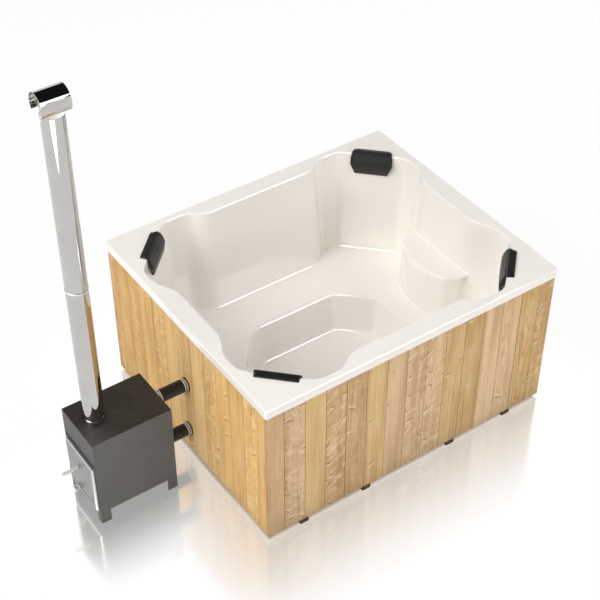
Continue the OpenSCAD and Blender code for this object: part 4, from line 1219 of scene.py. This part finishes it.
def skirts():
    """Board-coloured strips from the boards' lower edges to the floor. Only reflections see them, so the boards'
    mirror image starts at the floor."""
    m = Mat("studio_skirt")
    m.t.nodes.remove(m.p)
    o = [x for x in m.t.nodes if x.type == "OUTPUT_MATERIAL"][0]
    geo = m.node("ShaderNodeNewGeometry").outputs["Position"]
    band = m.noise(m.mapping(geo, (9.0, 9.0, .4)), 1.0, 3, 0.6)
    c = m.ramp(band, [(0.3, (0.50, 0.345, 0.17)), (0.7, (0.72, 0.53, 0.31))])
    d = m.node("ShaderNodeBsdfDiffuse", {"Color": c})
    m.t.links.new(d.outputs[0], o.inputs["Surface"])
    fx, fy = HX - .0085, HY - .0085
    for k, (a, b) in enumerate((((-fx, -fy), (fx, -fy)), ((-fx, fy), (-fx, -fy)))):
        me = grid_mesh(f"studio_skirt_{k}", [[(*a, .0004), (*b, .0004)], [(*a, .046), (*b, .046)]], False)
        me.materials.append(m.m)
        ob = bpy.data.objects.new(f"studio_skirt_{k}", me)
        scene.collection.objects.link(ob)
        ob.visible_camera = ob.visible_diffuse = ob.visible_transmission = ob.visible_shadow = False


def world():
    w = bpy.data.worlds.new("studio")
    scene.world = w
    w.use_nodes = True
    t = w.node_tree
    t.nodes.clear()
    out = t.nodes.new("ShaderNodeOutputWorld")
    geo = t.nodes.new("ShaderNodeTexCoord")
    sep = t.nodes.new("ShaderNodeSeparateXYZ")
    t.links.new(geo.outputs["Generated"], sep.inputs[0])
    ramp = t.nodes.new("ShaderNodeValToRGB")
    t.links.new(sep.outputs[2], ramp.inputs[0])
    ramp.color_ramp.interpolation = "EASE"
    e = ramp.color_ramp.elements
    e[0].position, e[0].color = 0.0, (1.0, 1.0, 1.0, 1)
    e[1].position, e[1].color = 0.40, (0.012, 0.012, 0.012, 1)
    x = e.new(0.34)
    x.color = (1.0, 1.0, 1.0, 1)
    seen = t.nodes.new("ShaderNodeBackground")
    t.links.new(ramp.outputs[0], seen.inputs["Color"])
    seen.inputs["Strength"].default_value = 1.0
    lit = t.nodes.new("ShaderNodeBackground")
    lit.inputs["Color"].default_value = (0.97, 0.985, 1.0, 1)
    lit.inputs["Strength"].default_value = 0.325
    lp = t.nodes.new("ShaderNodeLightPath")
    mix = t.nodes.new("ShaderNodeMixShader")
    t.links.new(lp.outputs["Is Glossy Ray"], mix.inputs[0])
    t.links.new(lit.outputs[0], mix.inputs[1])
    t.links.new(seen.outputs[0], mix.inputs[2])
    # above the floor's horizon a low camera sees the same white as the floor
    paper = t.nodes.new("ShaderNodeBackground")
    paper.inputs["Color"].default_value = (1.0, 1.0, 1.0, 1)
    paper.inputs["Strength"].default_value = 1.0
    top = t.nodes.new("ShaderNodeMixShader")
    t.links.new(lp.outputs["Is Camera Ray"], top.inputs[0])
    t.links.new(mix.outputs[0], top.inputs[1])
    t.links.new(paper.outputs[0], top.inputs[2])
    t.links.new(top.outputs[0], out.inputs["Surface"])


def area(name, direction, dist, size, power, target=(0, 0, .7), color=(1, 1, 1), glossy=True):
    d = Vector(direction).normalized()
    L = bpy.data.lights.new(name, "AREA")
    L.shape = "RECTANGLE"
    L.size, L.size_y = size
    L.energy = power
    L.color = color
    o = bpy.data.objects.new(name, L)
    o.location = Vector(target) + d * dist
    o.rotation_euler = d.to_track_quat("Z", "Y").to_euler()
    o.visible_glossy = glossy
    scene.collection.objects.link(o)
    return o


def radiant(size, radiance):
    """Power of a one-sided area light of that radiance."""
    return radiance * math.pi * size[0] * size[1]


def lights():
    key = area("key_left", (-.80, 0.0, .60), 12.0, (6.2, 8.6), radiant((6.2, 8.6), 6.45), color=(1.0, .985, .955))
    # the stove and the hoses throw no hard-edged shade on the boards behind them
    tub_parts = bpy.data.collections.new("tub_parts")
    for o in scene.objects:
        if o.type == "MESH" and not o.hide_render and min((o.matrix_world @ Vector(c)).x for c in o.bound_box) > -1.1:
            tub_parts.objects.link(o)
    key.light_linking.blocker_collection = tub_parts
    area("front_right", (.44, -.76, .50), 12.0, (2.6, 4.2), radiant((2.6, 4.2), 9.5), color=(1.0, .99, .97), glossy=False)
    area("overhead", (0.0, 0.0, 1.0), 12.0, (5.0, 5.0), radiant((5.0, 5.0), 3.8), color=(1.0, .995, .985), glossy=False)
    area("far_side", (.93, .05, .37), 12.0, (4.5, 4.5), radiant((4.5, 4.5), 2.8), color=(1.0, 1.0, 1.0), glossy=False)
    area("low_front", (0.0, -1.0, .20), 12.0, (6.0, 2.0), radiant((6.0, 2.0), 5.0), color=(1.0, .99, .97), glossy=False)
    for what, k in ((shell, 1.0), (bpy.data.objects["flue_hood_rolled"], .075)):
        only = bpy.data.collections.new("lit_" + what.name)
        only.objects.link(what)
        for name, way, size, strength in (("edge_lines_right", (.36, -.72, .60), (5.0, 5.4), 36.0), ("edge_lines_left", (-.61, -.47, .64), (1.4, 4.6), 46.0)):
            sheen = area(name + "_" + what.name, way, 12.0, size, radiant(size, k * strength))
            sheen.visible_diffuse = False
            sheen.light_linking.receiver_collection = only


def card():
    """A bright card on the floor in front of the flue that only reflections see: the white streak in the upper pipe."""
    foot = Vector((FLUE[0], FLUE[1], .002))
    eye = Vector((-3.6829, -5.0214, 0)) - foot
    eye.z = 0
    ahead = eye.normalized()
    right = Vector((-ahead.y, ahead.x, 0))

    def at(height, deg):
        """The floor point that the camera sees in the pipe at that height, mirrored to that side."""
        dist = height * eye.length / (6.1697 - height)
        a = math.radians(deg)
        return foot + (ahead * math.cos(a) + right * math.sin(a)) * dist

    pts = [at(2.33, -14), at(2.33, -12), at(2.44, 0), at(2.54, 8), at(2.66, 13), at(2.80, 15), at(3.2, 15),
           at(3.2, -34), at(2.80, -34), at(2.66, -33), at(2.54, -30), at(2.44, -24)]
    me = bpy.data.meshes.new("studio_card")
    me.from_pydata([tuple(p) for p in pts], [], [tuple(range(len(pts)))])
    if me.polygons[0].normal.z < 0:
        me.flip_normals()
    m = Mat("studio_card")
    m.t.nodes.remove(m.p)
    o = [x for x in m.t.nodes if x.type == "OUTPUT_MATERIAL"][0]
    em = m.node("ShaderNodeEmission", {"Color": (1, 1, 1, 1), "Strength": 3.0})
    m.t.links.new(em.outputs[0], o.inputs["Surface"])
    me.materials.append(m.m)
    c = bpy.data.objects.new("studio_card", me)
    scene.collection.objects.link(c)
    c.visible_camera = c.visible_diffuse = c.visible_transmission = c.visible_shadow = False


def camera():
    a, e = math.radians(-34.725), math.radians(41.308)
    back = Vector((math.sin(a) * math.cos(e), -math.cos(a) * math.cos(e), math.sin(e)))
    right = Vector((math.cos(a), math.sin(a), 0))
    up = back.cross(right)
    cam = bpy.data.cameras.new("camera")
    cam.lens, cam.sensor_width, cam.sensor_fit = 84.08, 36.0, "HORIZONTAL"
    cam.clip_start, cam.clip_end = .1, 400
    o = bpy.data.objects.new("camera", cam)
    m = Matrix((right, up, back)).transposed().to_4x4()
    m.translation = Vector((-3.6829, -5.0214, 6.1697))
    o.matrix_world = m
    scene.collection.objects.link(o)
    scene.camera = o


stage()
skirts()
world()
lights()
card()
camera()
scene.view_settings.view_transform = "Standard"
scene.view_settings.look = "None"
scene.view_settings.exposure = 0.0
scene.cycles.use_denoising = True
scene.cycles.max_bounces = 10
scene.cycles.diffuse_bounces = 5
scene.cycles.glossy_bounces = 5
scene.cycles.transparent_max_bounces = 8
scene.cycles.sample_clamp_indirect = 6.0
scene.cycles.caustics_reflective = False
scene.cycles.caustics_refractive = False

# every CAD node that still shows gets its own finish
for nm, o in NODES.items():
    if not o.hide_render:
        o.data.materials.clear()
        o.data.materials.append(MATS[SLOT[nm]])
        print("CAD node shown as it is:", nm)
